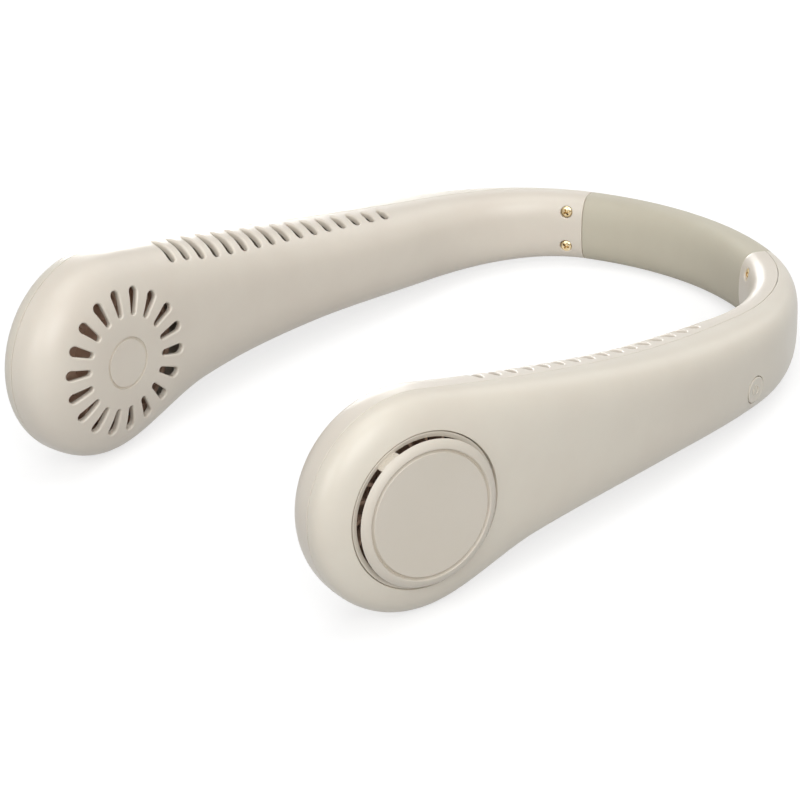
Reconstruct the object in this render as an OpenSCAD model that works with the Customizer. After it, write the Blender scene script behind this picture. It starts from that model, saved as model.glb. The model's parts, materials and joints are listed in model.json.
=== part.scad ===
// Neck fan: two hollow arms joined by a bendable silicone band, with a fan in each round end.
// +Z is up, +X is the wearer's left and the arms point to -Y. It rests on a table on both
// round ends and on the middle of the band. All sizes are in millimetres.

/* [Neck line] */
// Radius of the band's arc behind the neck
back_r = 84; // [76:0.5:96]
// Half of the angle that the band's arc covers
back_angle = 25; // [21:0.5:28]
// Radius of the corner between band and arm
corner_r = 58.5; // [52:0.5:68]
// Angle that each corner turns
corner_angle = 56.2; // [52:0.2:60]
// Radius of the slight bow of each arm
arm_r = 384; // [320:4:520]
// Angle that each arm's bow covers
arm_angle = 18.2; // [14:0.2:20]

/* [Housing] */
// Diameter of the round fan ends
fan_d = 60; // [58:0.5:64]
// Depth of a fan end from the middle line to its outer face
outer_t = 10.6; // [10.2:0.1:12]
// Depth of a fan end from the middle line to its inner face
inner_t = 14.2; // [13.8:0.1:16]
// Wall thickness of the shells
wall = 2; // [1.6:0.1:2.2]
// Thickness of the band
band_t = 12.2; // [11.6:0.1:13]
// Height of the band
band_h = 20.6; // [19.6:0.1:23]
// Height of the band's middle above the fan axes
band_rise = 7.9; // [6:0.1:10]
// Top edge above the fan axis, just after the corner
neck_top = 18; // [16.5:0.1:20]
// Top edge above the fan axis, at mid arm
mid_top = 20.5; // [19:0.1:23]
// Top edge above the fan axis, near the fan
near_top = 25.7; // [24:0.1:27]
// Bottom edge below the fan axis, just after the corner
neck_bottom = 7.6; // [6:0.1:9]
// Bottom edge below the fan axis, at mid arm
mid_bottom = 10.9; // [10:0.1:13]
// Bottom edge below the fan axis, near the fan
near_bottom = 18.3; // [17:0.1:20]

/* [Parting line] */
// Gap between the two shells of an arm
seam_gap = 0.15; // [0.1:0.05:0.3]
// Height of the lip that locates one shell in the other
lip_h = 1.2; // [0.8:0.1:1.6]

/* [Air grille] */
// Number of radial slots
grille_count = 18; // [12:1:20]
// Distance from the fan end's outline to the outer tips of the slots
grille_margin = 7.9; // [7:0.1:9]
// Radius at the inner ends of the slots
grille_root_r = 13.8; // [12.5:0.1:15]
// Slot width at the outer tips
grille_tip_w = 3.2; // [2.4:0.1:3.6]
// Slot width at the inner ends
grille_root_w = 1.7; // [1.2:0.1:2]
// Radius of the round mark at the middle
mark_r = 7.35; // [6:0.05:9]

/* [Air outlet] */
// Number of outlet slots on each arm
outlet_count = 16; // [10:1:17]
// Distance from the fan axis to the first slot
outlet_start = 24.2; // [22:0.1:28]
// Distance from slot to slot
outlet_pitch = 5.55; // [5:0.05:6]
// Slot width
outlet_w = 2.4; // [1.8:0.1:3]

/* [Intake cover] */
// Distance from the fan end's outline to the cover's ring
cover_margin = 8.6; // [8:0.1:9.2]
// Width of the cover's ring
ring_w = 1.5; // [1.2:0.1:1.8]
// Width of the gap between the ring and the raised disc
intake_gap = 0.5; // [0.4:0.1:0.8]
// Height of the disc's face above the fan's middle line
disc_t = 12.7; // [12.4:0.1:13.6]
// Distance from the disc's edge to the fine groove on its face
groove_in = 2; // [1.9:0.1:3]

/* [Impeller] */
// Number of blades
blade_count = 21; // [15:1:25]
// Clearance between the impeller and the housing
impeller_gap = 1.3; // [1:0.1:2]
// Depth of the blades, from the impeller's rim to its root
blade_d = 9; // [7:0.1:10]

/* [Controls] */
// Radius of the power button
button_r = 3.8; // [3:0.1:4.5]
// Inward travel of the power button
button_travel = 0.5; // [0.3:0.05:0.6]
// Width of the charging inlet's metal shell
usb_w = 8.9; // [8.5:0.1:9.2]

/* [Battery] */
// Radius of the round cell
cell_r = 7; // [6:0.1:7.1]
// Length of the cell
cell_len = 50; // [40:0.5:51]

/* [Hidden] */

// Clearances
fit = 0.02;      // pressed or glued in place
snug = 0.1;      // dropped in by hand
loose = 0.3;     // clear of its neighbour
run = 0.03;      // shaft in its bearing, on the radius
overrun = 1;     // how far a cut passes its surface

// Section exponents: the outer half is squarer than the inner half
outer_n = 3.36;
inner_n = 2.72;
// Angle at which the arm's bottom edge runs into the fan's circle
bottom_run_in = 11.2;
// Places along the arm, from the band's end to the fan axis, of the sizes above
profile_shares = [0, 0.3, 0.55, 0.8];
// Parting line, outward from the middle line, at the same places and at the fan
seam_band = 2;
seam_neck = -0.8;
seam_mid = 0.2;
seam_near = 1.5;
seam_fan = 2;

fan_r = fan_d / 2;
grille_tip_r = fan_r - grille_margin;
cover_r = fan_r - cover_margin;
ring_in_r = cover_r - ring_w;
disc_r = ring_in_r - intake_gap;
groove_r = disc_r - groove_in;
band_half_t = band_t / 2;
band_half_h = band_h / 2;
back_len = back_r * back_angle * PI / 180;
corner_len = corner_r * corner_angle * PI / 180;
arm_len = arm_r * arm_angle * PI / 180;
corner_s = back_len + corner_len;
fan_s = corner_s + arm_len;
fan_heading = back_angle + corner_angle + arm_angle;

// The neck line is three arcs, each tangent to the next. s runs along it from the middle
// of the band, t is the distance outward from it, and a heading of 0 points to +X.
function outward(a) = [sin(a), cos(a)];
back_c = [0, -back_r];
corner_c = back_c + (back_r - corner_r) * outward(back_angle);
arm_c = corner_c + (corner_r - arm_r) * outward(back_angle + corner_angle);
function turn(s, r) = s / r * 180 / PI;
function heading(s) =
    s < back_len ? turn(s, back_r)
    : s < corner_s ? back_angle + turn(s - back_len, corner_r)
    : back_angle + corner_angle + turn(s - corner_s, arm_r);
function neck(s, t = 0) =
    s < back_len ? back_c + (back_r + t) * outward(heading(s))
    : s < corner_s ? corner_c + (corner_r + t) * outward(heading(s))
    : arm_c + (arm_r + t) * outward(heading(s));
fan_at = neck(fan_s);

// Smooth curve through knots: level at the first and with a given slope at the last
function knot_slope(k, v, i, last) =
    i == 0 ? 0
    : i == len(v) - 1 ? last
    : (v[i + 1] - v[i - 1]) / (k[i + 1] - k[i - 1]);
function hermite(u, a, b, ma, mb) =
    (2 * u * u * u - 3 * u * u + 1) * a + (u * u * u - 2 * u * u + u) * ma
    + (3 * u * u - 2 * u * u * u) * b + (u * u * u - u * u) * mb;
function smooth_at(s, k, v, last) =
    s <= k[0] ? v[0]
    : s >= k[len(k) - 1] ? v[len(v) - 1]
    : let (i = max([for (j = [0:len(k) - 2]) if (s >= k[j]) j]), h = k[i + 1] - k[i])
      hermite((s - k[i]) / h, v[i], v[i + 1],
          knot_slope(k, v, i, last) * h, knot_slope(k, v, i + 1, last) * h);

// Edges of the arm seen from the side, as heights over the fan axis
arm_knots = [for (q = profile_shares) back_len + (fan_s - back_len) * q];
function circle_z(s) = sqrt(max(0, fan_r * fan_r - (fan_s - s) * (fan_s - s)));
// The top edge meets the circle along the tangent from its last knot
near_run = fan_s - arm_knots[3];
top_run_in = atan2(near_run, near_top) - acos(fan_r / norm([near_run, near_top]));
top_end = fan_s - fan_r * sin(top_run_in);
bottom_end = fan_s - fan_r * sin(bottom_run_in);
tops = [band_rise + band_half_h, neck_top, mid_top, near_top, fan_r * cos(top_run_in)];
bottoms = [band_rise - band_half_h, -neck_bottom, -mid_bottom, -near_bottom,
    -fan_r * cos(bottom_run_in)];
function top_z(s) =
    s > top_end ? circle_z(s)
    : smooth_at(s, concat(arm_knots, top_end), tops, tan(top_run_in));
function bottom_z(s) =
    s > bottom_end ? -circle_z(s)
    : smooth_at(s, concat(arm_knots, bottom_end), bottoms, -tan(bottom_run_in));
function seam_t(s) = smooth_at(s, concat(arm_knots, fan_s),
    [seam_band, seam_neck, seam_mid, seam_near, seam_fan], 0);

// Depths of the section, which grow from the band to mid arm
function ease(u) = let (v = min(max(u, 0), 1)) v * v * (3 - 2 * v);
function growth(s) = ease((s - back_len) / ((fan_s - back_len) / 2));
function outer_at(s) = band_half_t + (outer_t - band_half_t) * growth(s);
function inner_at(s) = band_half_t + (inner_t - band_half_t) * growth(s);
function mid_z(s) = (top_z(s) + bottom_z(s)) / 2;
function half_h(s) = (top_z(s) - bottom_z(s)) / 2;

// Section shape: [t, h] at angle a, 0 at the outer face, 90 at the edge, 180 at the inner face
function section_point(a, o, i, h) =
    a <= 90 ? [o * pow(cos(a), 2 / outer_n), h * pow(sin(a), 2 / outer_n)]
    : [-i * pow(-cos(a), 2 / inner_n), h * pow(sin(a), 2 / inner_n)];
function angle_of(t, o, i) =
    t >= 0 ? acos(pow(t / o, outer_n / 2)) : 180 - acos(pow(-t / i, inner_n / 2));
function edge_h(t, o, i, h) = section_point(angle_of(t, o, i), o, i, h)[1];
// Depth of the section at a height over its middle, for the outer side and the inner side
function outer_depth(z, o, h) = o * pow(1 - pow(abs(z) / h, outer_n), 1 / outer_n);
function inner_depth(z, i, h) = i * pow(1 - pow(abs(z) / h, inner_n), 1 / inner_n);
// Height of the skin over the fan axis at s and t, a distance below the outside
function skin_z(s, t, inset = 0) =
    mid_z(s) + edge_h(t, outer_at(s) - inset, inner_at(s) - inset, half_h(s) - inset);

// How the part rests: tipped back until the band's middle and both round ends touch down
outer_q = outer_n / (outer_n - 1);
function reach(t, h) = pow(pow(abs(t), outer_q) + pow(abs(h), outer_q), 1 / outer_q);
function band_low(a) = reach(band_half_t * sin(a), band_half_h * cos(a));
function tip_back(low) =
    asin((fan_r - low) / norm([-fan_at[1], band_rise])) + atan2(band_rise, -fan_at[1]);
tilt = tip_back(band_low(tip_back(band_half_h)));
lift = fan_r + fan_at[1] * sin(tilt);
back_y = band_rise * sin(tilt) + reach(band_half_t * cos(tilt), band_half_h * sin(tilt));
front_lean = -cos(tilt) * cos(fan_heading);
front_y = fan_at[1] * cos(tilt)
    - reach(outer_t * front_lean, fan_r * sqrt(1 - front_lean * front_lean));
shift_y = -(back_y + front_y) / 2;

module rest() {
    translate([0, shift_y, lift]) rotate([-tilt, 0, 0]) children();
}
module left() {
    rest() children();
}
module right() {
    rest() mirror([1, 0, 0]) children();
}
// A place on the neck line: X forward along it, Y outward, Z up from the fan axis
module at_station(s) {
    translate([neck(s)[0], neck(s)[1], 0]) rotate([0, 0, -heading(s)]) children();
}
// The fan's own frame: Z outward along its axis, X forward, Y down
module at_fan() {
    at_station(fan_s) rotate([-90, 0, 0]) children();
}
// Part of a ring round the Z axis, from its profile in radius and height
module arc_ring(from, to) {
    rotate([0, 0, from]) rotate_extrude(angle = to - from) children();
}
module ring_box(r1, r2, z1, z2) {
    translate([r1, z1]) square([r2 - r1, z2 - z1]);
}
module tube(r_out, r_in, z1, z2) {
    translate([0, 0, z1]) difference() {
        cylinder(r = r_out, h = z2 - z1);
        translate([0, 0, -overrun]) cylinder(r = r_in, h = z2 - z1 + 2 * overrun);
    }
}
// A profile in [t, z] carried along the neck line: round the band's arc or a corner's arc
module along_back(s1, s2) {
    translate([back_c[0], back_c[1], 0])
        arc_ring(90 - turn(s2, back_r), 90 - turn(s1, back_r))
            translate([back_r, 0]) children();
}
module along_corner(s1, s2) {
    translate([corner_c[0], corner_c[1], 0])
        arc_ring(90 - heading(s2), 90 - heading(s1)) translate([corner_r, 0]) children();
}
module along_arm(s1, s2) {
    translate([arm_c[0], arm_c[1], 0])
        arc_ring(90 - heading(s2), 90 - heading(s1)) translate([arm_r, 0]) children();
}

// A shell is one profile, from the middle of its face over the edge to the parting line and
// back along its inside, swept forward along the top, round the fan's axis and back along
// the bottom. The face's middle line is shared by the top and the bottom.
far_steps = 16;
near_steps = 8;
arm_steps = far_steps + near_steps;
end_steps = 20;
skin_steps = 8;
station_count = 2 * (arm_steps + 1) + end_steps - 1;
function arm_s(k) =
    let (first = back_len + seam_gap, near = fan_s - fan_r)
    k <= far_steps ? first + (near - first) * k / far_steps
    : near + fan_r * (k - far_steps) / near_steps;
function station_s(u) =
    arm_s(u <= arm_steps ? u : u < arm_steps + end_steps ? arm_steps : station_count - 1 - u);
function station_turn(u) = 90 - 180 * min(max(u - arm_steps, 0), end_steps) / end_steps;
function middle_index(u) = min(u, arm_steps, station_count - 1 - u);

function shell_place(u, p) =
    let (s = station_s(u), a = station_turn(u), q = neck(s, p[0]), f = heading(s),
        z0 = mid_z(s), out = p[1] * cos(a))
    [q[0] + out * cos(f), q[1] - out * sin(f), z0 + p[1] * sin(a)];

// The share of the way from the face's middle to the seam is even in angle
function skin_row(s, share, stop_t, inset, face) =
    let (o = outer_at(s) - inset, i = inner_at(s) - inset, stop = angle_of(stop_t, o, i))
    section_point(face + (stop - face) * share, o, i, half_h(s) - inset);
function step_row(s, t, inset) =
    [t, edge_h(t, outer_at(s) - inset, inner_at(s) - inset, half_h(s) - inset)];

function outer_profile(s) = let (t = seam_t(s)) concat(
    [for (k = [0:skin_steps]) skin_row(s, k / skin_steps, t, 0, 0)],
    [step_row(s, t, wall / 2), step_row(s, t - lip_h, wall / 2)],
    [for (k = [skin_steps:-1:0]) skin_row(s, k / skin_steps, t - lip_h, wall, 0)]);
function inner_profile(s) = let (t = seam_t(s) - seam_gap) concat(
    [for (k = [0:skin_steps]) skin_row(s, k / skin_steps, t, 0, 180)],
    [step_row(s, t, wall / 2 - seam_gap), step_row(s, t - lip_h, wall / 2 - seam_gap)],
    [for (k = [skin_steps:-1:0]) skin_row(s, k / skin_steps, t - lip_h, wall, 180)]);

row_count = 2 * (skin_steps + 1) + 2;
row_last = row_count - 1;
// Points: the two middle lines first, one point a station, then the rows between them
function shell_points(outer) = concat(
    [for (v = [0, row_last]) for (u = [0:arm_steps])
        shell_place(u, (outer ? outer_profile(station_s(u)) : inner_profile(station_s(u)))[v])],
    [for (u = [0:station_count - 1])
        let (p = outer ? outer_profile(station_s(u)) : inner_profile(station_s(u)))
        for (v = [1:row_last - 1]) shell_place(u, p[v])]);
function point_index(u, v) =
    v == 0 ? middle_index(u)
    : v == row_last ? arm_steps + 1 + middle_index(u)
    : 2 * (arm_steps + 1) + u * (row_last - 1) + v - 1;
function triangle(a, b, c, flip) =
    a == b || b == c || a == c ? [] : [flip ? [a, c, b] : [a, b, c]];
function quad(a, b, c, d, flip) = concat(triangle(a, b, c, flip), triangle(a, c, d, flip));
function cap(u, flip) =
    let (p = [for (v = [0:row_last]) point_index(u, v)])
    flip ? [for (k = [row_last:-1:0]) p[k]] : p;

module shell(outer) {
    // The inner profile runs the other way round, so its faces are turned
    flip = !outer;
    faces = concat(
        [for (u = [0:station_count - 2]) for (v = [0:row_last - 1])
            each quad(point_index(u, v), point_index(u + 1, v),
                point_index(u + 1, v + 1), point_index(u, v + 1), flip)],
        [cap(0, flip), cap(station_count - 1, !flip)]);
    polyhedron(points = shell_points(outer), faces = faces, convexity = 8);
}

// Levels in the fan, outward along its axis
face_in = -inner_t;
skin_in = -(inner_t - wall);
seat_pad = 0.8;
seat_z = skin_in + seat_pad;
base_t = 1.2;
base_top = seat_z + base_t;
base_r = 10;
board_t = 0.6;
core_up = 1;
core_low = base_top + board_t + core_up;
core_h = 4.5;
coil_over = 0.8;
cup_t = 0.8;
post_top = core_low + core_h + coil_over + snug;
cup_top = post_top + loose + cup_t;

// Shaft, bearing and motor sizes
shaft_r = 1;
bearing_r = 2;
post_r = 2.6;
core_hub_r = 4;
core_tip_r = 7.4;
shoe_t = 0.8;
tooth_w = 1.8;
tooth_count = 6;
coil_t = 0.8;
magnet_in = core_tip_r + loose;
magnet_t = 1;
cup_wall = 0.45;
magnet_out = magnet_in + magnet_t;
cup_in = magnet_out + fit;
cup_r = cup_in + cup_wall;
cup_boss_r = 2.4;
cup_boss_h = 1.5;
shaft_low = seat_z + base_t / 2;
shaft_top = cup_top + cup_boss_h;
motor_screw_r = 0.7;
motor_screw_at = 6.2;
motor_screw_count = 3;
motor_screw_depth = 1.1;
motor_screw_head = 1.3;

// Band clamp screws
band_screw_in = 5.8;
band_screw_s = back_len + band_screw_in;
band_screw_z = 5.5;
band_screw_r = 1;
band_head_r = 1.75;
band_head_t = 1.1;
head_sunk = 0.5;
recess_w = 0.5;
tongue_len = 11;
tongue_root = 1.5;
tongue_out = 0.6;
clamp_t = 1.8;
clamp_w = 9;
clamp_over = 1.8;
clamp_out = tongue_out + snug;
strip_t = 0.6;
strip_h = 7;
strip_at = -1.1;
strip_fold = 0.2;
wire_r = 0.55;
wire_cover = 0.1;
wire_at = -2.7;
wire_pitch = 1.6;
wire_short = 10;
wire_s = corner_s - wire_short;

// Controls on the left arm
button_past = 4.3;
button_s = corner_s + button_past;
button_z = 0.3;
button_proud = 0.15;
button_gap = 0.15;
button_rim = 0.75;
button_dish = 0.12;
flange_over = 0.9;
flange_t = 0.7;
stem_r = 1.2;
boss_over = 2;
button_face = outer_at(button_s);
boss_h = 0.6;
boss_low = button_face - wall - boss_h;
flange_top = boss_low - loose;
stem_h = 0.2;
stem_end = flange_top - flange_t - stem_h;
plunger_r = 0.9;
plunger_h = 0.4;
switch_w = 3.6;
switch_t = 1.5;
plunger_top = stem_end - button_travel - snug;
board_top = plunger_top - plunger_h - switch_t;
pcb_t = 1;
pcb_back = 14;
pcb_front = 6;
pcb_up = 11.5;
pcb_down = 4.6;
pcb_screw_r = 0.8;
pcb_post_r = 1.9;
pcb_screw_back = 11.5;
pcb_screw_up = 8.8;
pcb_screw_down = 1.8;
usb_t = 3.2;
usb_depth = 7.3;
usb_wall = 0.3;
usb_back = 5;
usb_tongue_t = 0.7;
usb_tongue_in = 0.5;
usb_sunk = 0.5;

// Duct and battery bay
divider_t = 1.2;
divider_back = 110.5;
divider_front = 33;
divider_steps = 8;
cell_clear = 2.7;
cell_mid_t = (outer_t - inner_t) / 2;
cell_s = button_s + pcb_front + cell_clear + cell_len / 2;
cell_slope = atan2(bottom_z(cell_s - cell_len / 2) - bottom_z(cell_s + cell_len / 2), cell_len);
cell_z = bottom_z(cell_s) + wall + loose + cell_r + seat_pad;
divider_z = cell_z + cell_r + cell_len / 2 * sin(cell_slope) + loose;
cap_r = 2.6;
cap_h = 1;
pad_w = 4;
pad_len = 5;
pad_h = 4;
pad_rise = 0.9;
pad_at = 18;
lead_r = 0.45;
lead_at = 6.2;
lead_pitch = 1.1;

shell_color = [0.84, 0.81, 0.76];
band_color = [0.82, 0.80, 0.72];

// A radial slot, wide at the tip and narrow at the root, with round ends
module taper_slot(r1, r2, w1, w2) {
    translate([r1 + w1 / 2, 0]) circle(r = w1 / 2);
    translate([r2 - w2 / 2, 0]) circle(r = w2 / 2);
    polygon([[r1 + w1 / 2, -w1 / 2], [r2 - w2 / 2, -w2 / 2],
        [r2 - w2 / 2, w2 / 2], [r1 + w1 / 2, w1 / 2]]);
}
grille_turn_share = 0.76;
module grille_cut() {
    for (k = [0:grille_count - 1])
        rotate([0, 0, 360 * (k + grille_turn_share) / grille_count])
            translate([0, 0, face_in - overrun])
                linear_extrude(height = 3 * wall + overrun)
                    taper_slot(grille_root_r, grille_tip_r, grille_root_w, grille_tip_w);
}
mark_w = 0.35;
mark_depth = 0.3;
groove_w = 0.4;
module mark_cut() {
    tube(mark_r + mark_w / 2, mark_r - mark_w / 2,
        face_in - overrun, face_in + mark_depth);
}

// One outlet slot: its upper end beside the parting line, its lower end on the inner face
outlet_reach_shares = [0.65, 0.72, 0.68, 0.5];
outlet_clear = 0.6;
function outlet_low(s) = inner_at(s) * smooth_at(fan_s - s,
    [for (q = [0, 0.2, 0.45, 1]) outlet_start + q * outlet_pitch * (outlet_count - 1)],
    outlet_reach_shares, 0);
module outlet_slot(s) {
    t1 = seam_t(s) - lip_h - outlet_clear;
    t2 = -outlet_low(s);
    z1 = skin_z(s, t1);
    z2 = skin_z(s, t2);
    len = norm([t2 - t1, z2 - z1]);
    at_station(s) translate([0, (t1 + t2) / 2, (z1 + z2) / 2])
        rotate([atan2(z1 - z2, t1 - t2), 0, 0]) {
            straight = len - outlet_w;
            depth = 2 * wall;
            translate([-outlet_w / 2, -straight / 2, -depth])
                cube([outlet_w, straight, 2 * depth]);
            for (y = [-straight / 2, straight / 2])
                translate([0, y, -depth]) cylinder(r = outlet_w / 2, h = 2 * depth);
        }
}

module band_hole_places() {
    for (z = [-band_screw_z, band_screw_z])
        at_station(band_screw_s) translate([0, 0, band_rise + z]) rotate([-90, 0, 0]) children();
}

module inner_shell() {
    difference() {
        union() {
            shell(false);
            at_fan() translate([0, 0, skin_in - wall / 2])
                cylinder(r = base_r + seat_pad, h = seat_z - skin_in + wall / 2);
        }
        at_fan() grille_cut();
        at_fan() mark_cut();
        for (k = [0:outlet_count - 1])
            outlet_slot(fan_s - outlet_start - k * outlet_pitch);
        band_hole_places() translate([0, 0, -band_half_t - overrun])
            cylinder(r = band_screw_r + snug, h = band_half_t);
        band_hole_places() translate([0, 0, -band_half_t - overrun])
            cylinder(r = band_head_r + snug, h = overrun + head_sunk + band_head_t);
        at_fan() motor_screw_places() translate([0, 0, seat_z - motor_screw_depth - snug])
            cylinder(r = motor_screw_r, h = motor_screw_depth + snug + overrun);
    }
}

module outer_shell(controls) {
    difference() {
        union() {
            shell(true);
            if (controls) control_bosses();
        }
        at_fan() cylinder(r = cover_r + snug, h = outer_t + overrun);
        if (controls) control_cuts();
    }
}
module control_bosses() {
    at_station(button_s) translate([0, 0, button_z]) rotate([-90, 0, 0])
        translate([0, 0, boss_low])
            cylinder(r = button_r + button_gap + boss_over, h = button_face - wall / 2 - boss_low);
    board_screw_places() translate([0, 0, board_top + fit])
        cylinder(r = pcb_post_r, h = button_face - wall - board_top);
}
module control_cuts() {
    at_station(button_s) translate([0, 0, button_z]) rotate([-90, 0, 0]) {
        translate([0, 0, boss_low - overrun])
            cylinder(r = button_r + button_gap, h = wall * 2 + 2 * overrun);
        translate([0, 0, stem_end])
            cylinder(r = button_r + flange_over + loose, h = boss_low - stem_end);
    }
    board_screw_places() translate([0, 0, board_top - overrun])
        cylinder(r = pcb_screw_r, h = overrun + 2 * pcb_t);
    usb_place() translate([0, 0, -usb_sunk - wall])
        usb_outline(usb_w / 2 + snug, usb_t / 2 + snug, 3 * wall);
}
module board_screw_places() {
    for (z = [pcb_screw_up, -pcb_screw_down])
        at_station(button_s) translate([-pcb_screw_back, 0, button_z + z])
            rotate([-90, 0, 0]) children();
}

// The cover is one moulding: a ring flush with the housing, and a raised disc that bridges
// carry over it. Air goes in between the ring and the edge of the disc.
disc_wall = 1.5;
edge_up = 0.7;
shoulder_w = 1.8;
ring_t = 1.4;
ring_sunk = 0.1;
bridge_count = 3;
bridge_turn = 64;
bridge_half = 8.8;
ring_z = edge_h_at(cover_r) - ring_sunk;
disc_edge_z = ring_z + edge_up;
cover_low = ring_z - ring_t;
function edge_h_at(r) = outer_depth(r, outer_t, fan_r);
module intake_cover() {
    shoulder_h = disc_t - disc_edge_z;
    skirt_r = disc_r - disc_wall;
    at_fan() difference() {
        rotate_extrude() polygon([
            [0, disc_t - disc_wall], [skirt_r, disc_t - 2 * disc_wall], [skirt_r, cover_low],
            [cover_r, cover_low], [cover_r, ring_z], [ring_in_r, ring_z],
            [disc_r, disc_edge_z],
            for (a = [15:15:75]) [disc_r - shoulder_w * (1 - cos(a)),
                disc_edge_z + shoulder_h * sin(a)],
            [disc_r - shoulder_w, disc_t],
            [groove_r + groove_w / 2, disc_t], [groove_r, disc_t - mark_depth],
            [groove_r - groove_w / 2, disc_t], [0, disc_t]]);
        for (k = [0:bridge_count - 1])
            arc_ring(bridge_turn + 360 * k / bridge_count + bridge_half,
                bridge_turn + 360 * (k + 1) / bridge_count - bridge_half)
                ring_box(skirt_r - overrun, ring_in_r, cover_low - overrun, disc_edge_z);
    }
}

module motor_screw_places() {
    for (k = [0:motor_screw_count - 1])
        rotate([0, 0, 360 * k / motor_screw_count])
            translate([motor_screw_at, 0, 0]) children();
}
module motor_base() {
    at_fan() difference() {
        union() {
            translate([0, 0, seat_z]) cylinder(r = base_r, h = base_t);
            translate([0, 0, seat_z]) cylinder(r = post_r, h = post_top - seat_z);
        }
        translate([0, 0, shaft_low - loose])
            cylinder(r = bearing_r + fit, h = post_top - shaft_low + loose + overrun);
        motor_screw_places() {
            translate([0, 0, seat_z - overrun])
                cylinder(r = motor_screw_r + snug, h = base_t + 2 * overrun);
            translate([0, 0, base_top - motor_screw_head / 2])
                cylinder(r = motor_screw_head + snug, h = motor_screw_head / 2 + overrun);
        }
    }
}
module motor_screws() {
    at_fan() motor_screw_places() {
        translate([0, 0, seat_z - motor_screw_depth])
            cylinder(r = motor_screw_r - fit, h = motor_screw_depth + base_t - loose);
        translate([0, 0, base_top - motor_screw_head / 2 + fit])
            cylinder(r = motor_screw_head, h = motor_screw_head / 2 - 2 * fit);
    }
}
module motor_board() {
    at_fan() tube(cup_in - loose - snug, post_r + snug, base_top + fit, base_top + board_t);
}
module bearing() {
    at_fan() tube(bearing_r, shaft_r + run, shaft_low, post_top - snug);
}
module stator() {
    at_fan() translate([0, 0, core_low]) linear_extrude(height = core_h) difference() {
        union() {
            circle(r = core_hub_r);
            for (k = [0:tooth_count - 1]) rotate([0, 0, 360 * k / tooth_count]) {
                translate([0, -tooth_w / 2]) square([core_tip_r - shoe_t / 2, tooth_w]);
                intersection() {
                    difference() {
                        circle(r = core_tip_r);
                        circle(r = core_tip_r - shoe_t);
                    }
                    polygon([[0, 0], [core_tip_r * 2, -core_tip_r * 0.84],
                        [core_tip_r * 2, core_tip_r * 0.84]]);
                }
            }
        }
        circle(r = post_r + fit);
    }
}
module windings() {
    coil_r1 = core_hub_r + snug;
    coil_half = tooth_w / 2 + coil_t;
    coil_r2 = sqrt(pow(core_tip_r - shoe_t, 2) - coil_half * coil_half) - snug;
    at_fan() for (k = [0:tooth_count - 1]) rotate([0, 0, 360 * k / tooth_count])
        difference() {
            translate([coil_r1, -coil_half, core_low - coil_over])
                cube([coil_r2 - coil_r1, 2 * coil_half, core_h + 2 * coil_over]);
            translate([coil_r1 - overrun, -tooth_w / 2 - fit, core_low - fit])
                cube([coil_r2 + overrun, tooth_w + 2 * fit, core_h + 2 * fit]);
        }
}
module shaft() {
    at_fan() translate([0, 0, shaft_low]) cylinder(r = shaft_r, h = shaft_top - shaft_low);
}
module rotor_cup() {
    at_fan() {
        tube(cup_r, cup_in, core_low - coil_over, cup_top);
        tube(cup_in + cup_wall / 2, shaft_r + fit, cup_top - cup_t, cup_top);
        tube(cup_boss_r, shaft_r + fit, cup_top - cup_t / 2, shaft_top);
    }
}
module rotor_magnet() {
    at_fan() tube(magnet_out, magnet_in, core_low - coil_over + snug, cup_top - cup_t - fit);
}

// A blade is a strip that bends back as it goes out, drawn between two radii
blade_t = 0.9;
blade_sweep = 26;
blade_steps = 4;
blade_up = 1.4;
blade_gap = 2;
blade_low = core_low + blade_up;
blade_high = cover_low - blade_gap;
impeller_r = edge_h(blade_low, outer_t - wall, inner_t - wall, fan_r - wall) - impeller_gap;
blade_root_r = impeller_r - blade_d;
web_t = 0.8;
rim_w = 1.4;
hub_wall = 0.9;
hub_r = cup_r + fit + hub_wall;
function blade_point(k, side) =
    let (q = k / blade_steps, r = blade_root_r + (impeller_r - rim_w / 2 - blade_root_r) * q,
        a = blade_sweep * q * q + side * blade_t / 2 / r * 180 / PI)
    [r * cos(a), r * sin(a)];
module impeller() {
    at_fan() difference() {
        union() {
            tube(impeller_r, cup_r + fit, cup_top - web_t, cup_top);
            tube(hub_r, cup_r + fit, core_low, cup_top + fit + web_t);
            tube(cup_r + hub_wall / 2, cup_boss_r + fit, cup_top + fit, cup_top + fit + web_t);
            tube(impeller_r, impeller_r - rim_w, blade_low, blade_low + web_t);
            tube(impeller_r, impeller_r - rim_w, blade_high - web_t, blade_high);
            for (k = [0:blade_count - 1]) rotate([0, 0, 360 * k / blade_count])
                translate([0, 0, blade_low + web_t / 2])
                    linear_extrude(height = blade_high - blade_low - web_t)
                        polygon(concat([for (j = [0:blade_steps]) blade_point(j, -1)],
                            [for (j = [blade_steps:-1:0]) blade_point(j, 1)]));
        }
    }
}

// The wall between the air duct above and the battery bay below
module duct_divider() {
    function side(k) = fan_s - divider_back + (divider_back - divider_front) * k / divider_steps;
    function depth_z(s) = divider_z + divider_t / 2 - mid_z(s);
    low = [for (k = [0:divider_steps]) let (s = side(k))
        neck(s, loose + wall - inner_depth(depth_z(s), inner_at(s), half_h(s)))];
    high = [for (k = [divider_steps:-1:0]) let (s = side(k))
        neck(s, outer_depth(depth_z(s), outer_at(s), half_h(s)) - wall - loose)];
    translate([0, 0, divider_z]) linear_extrude(height = divider_t) polygon(concat(low, high));
}

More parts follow.
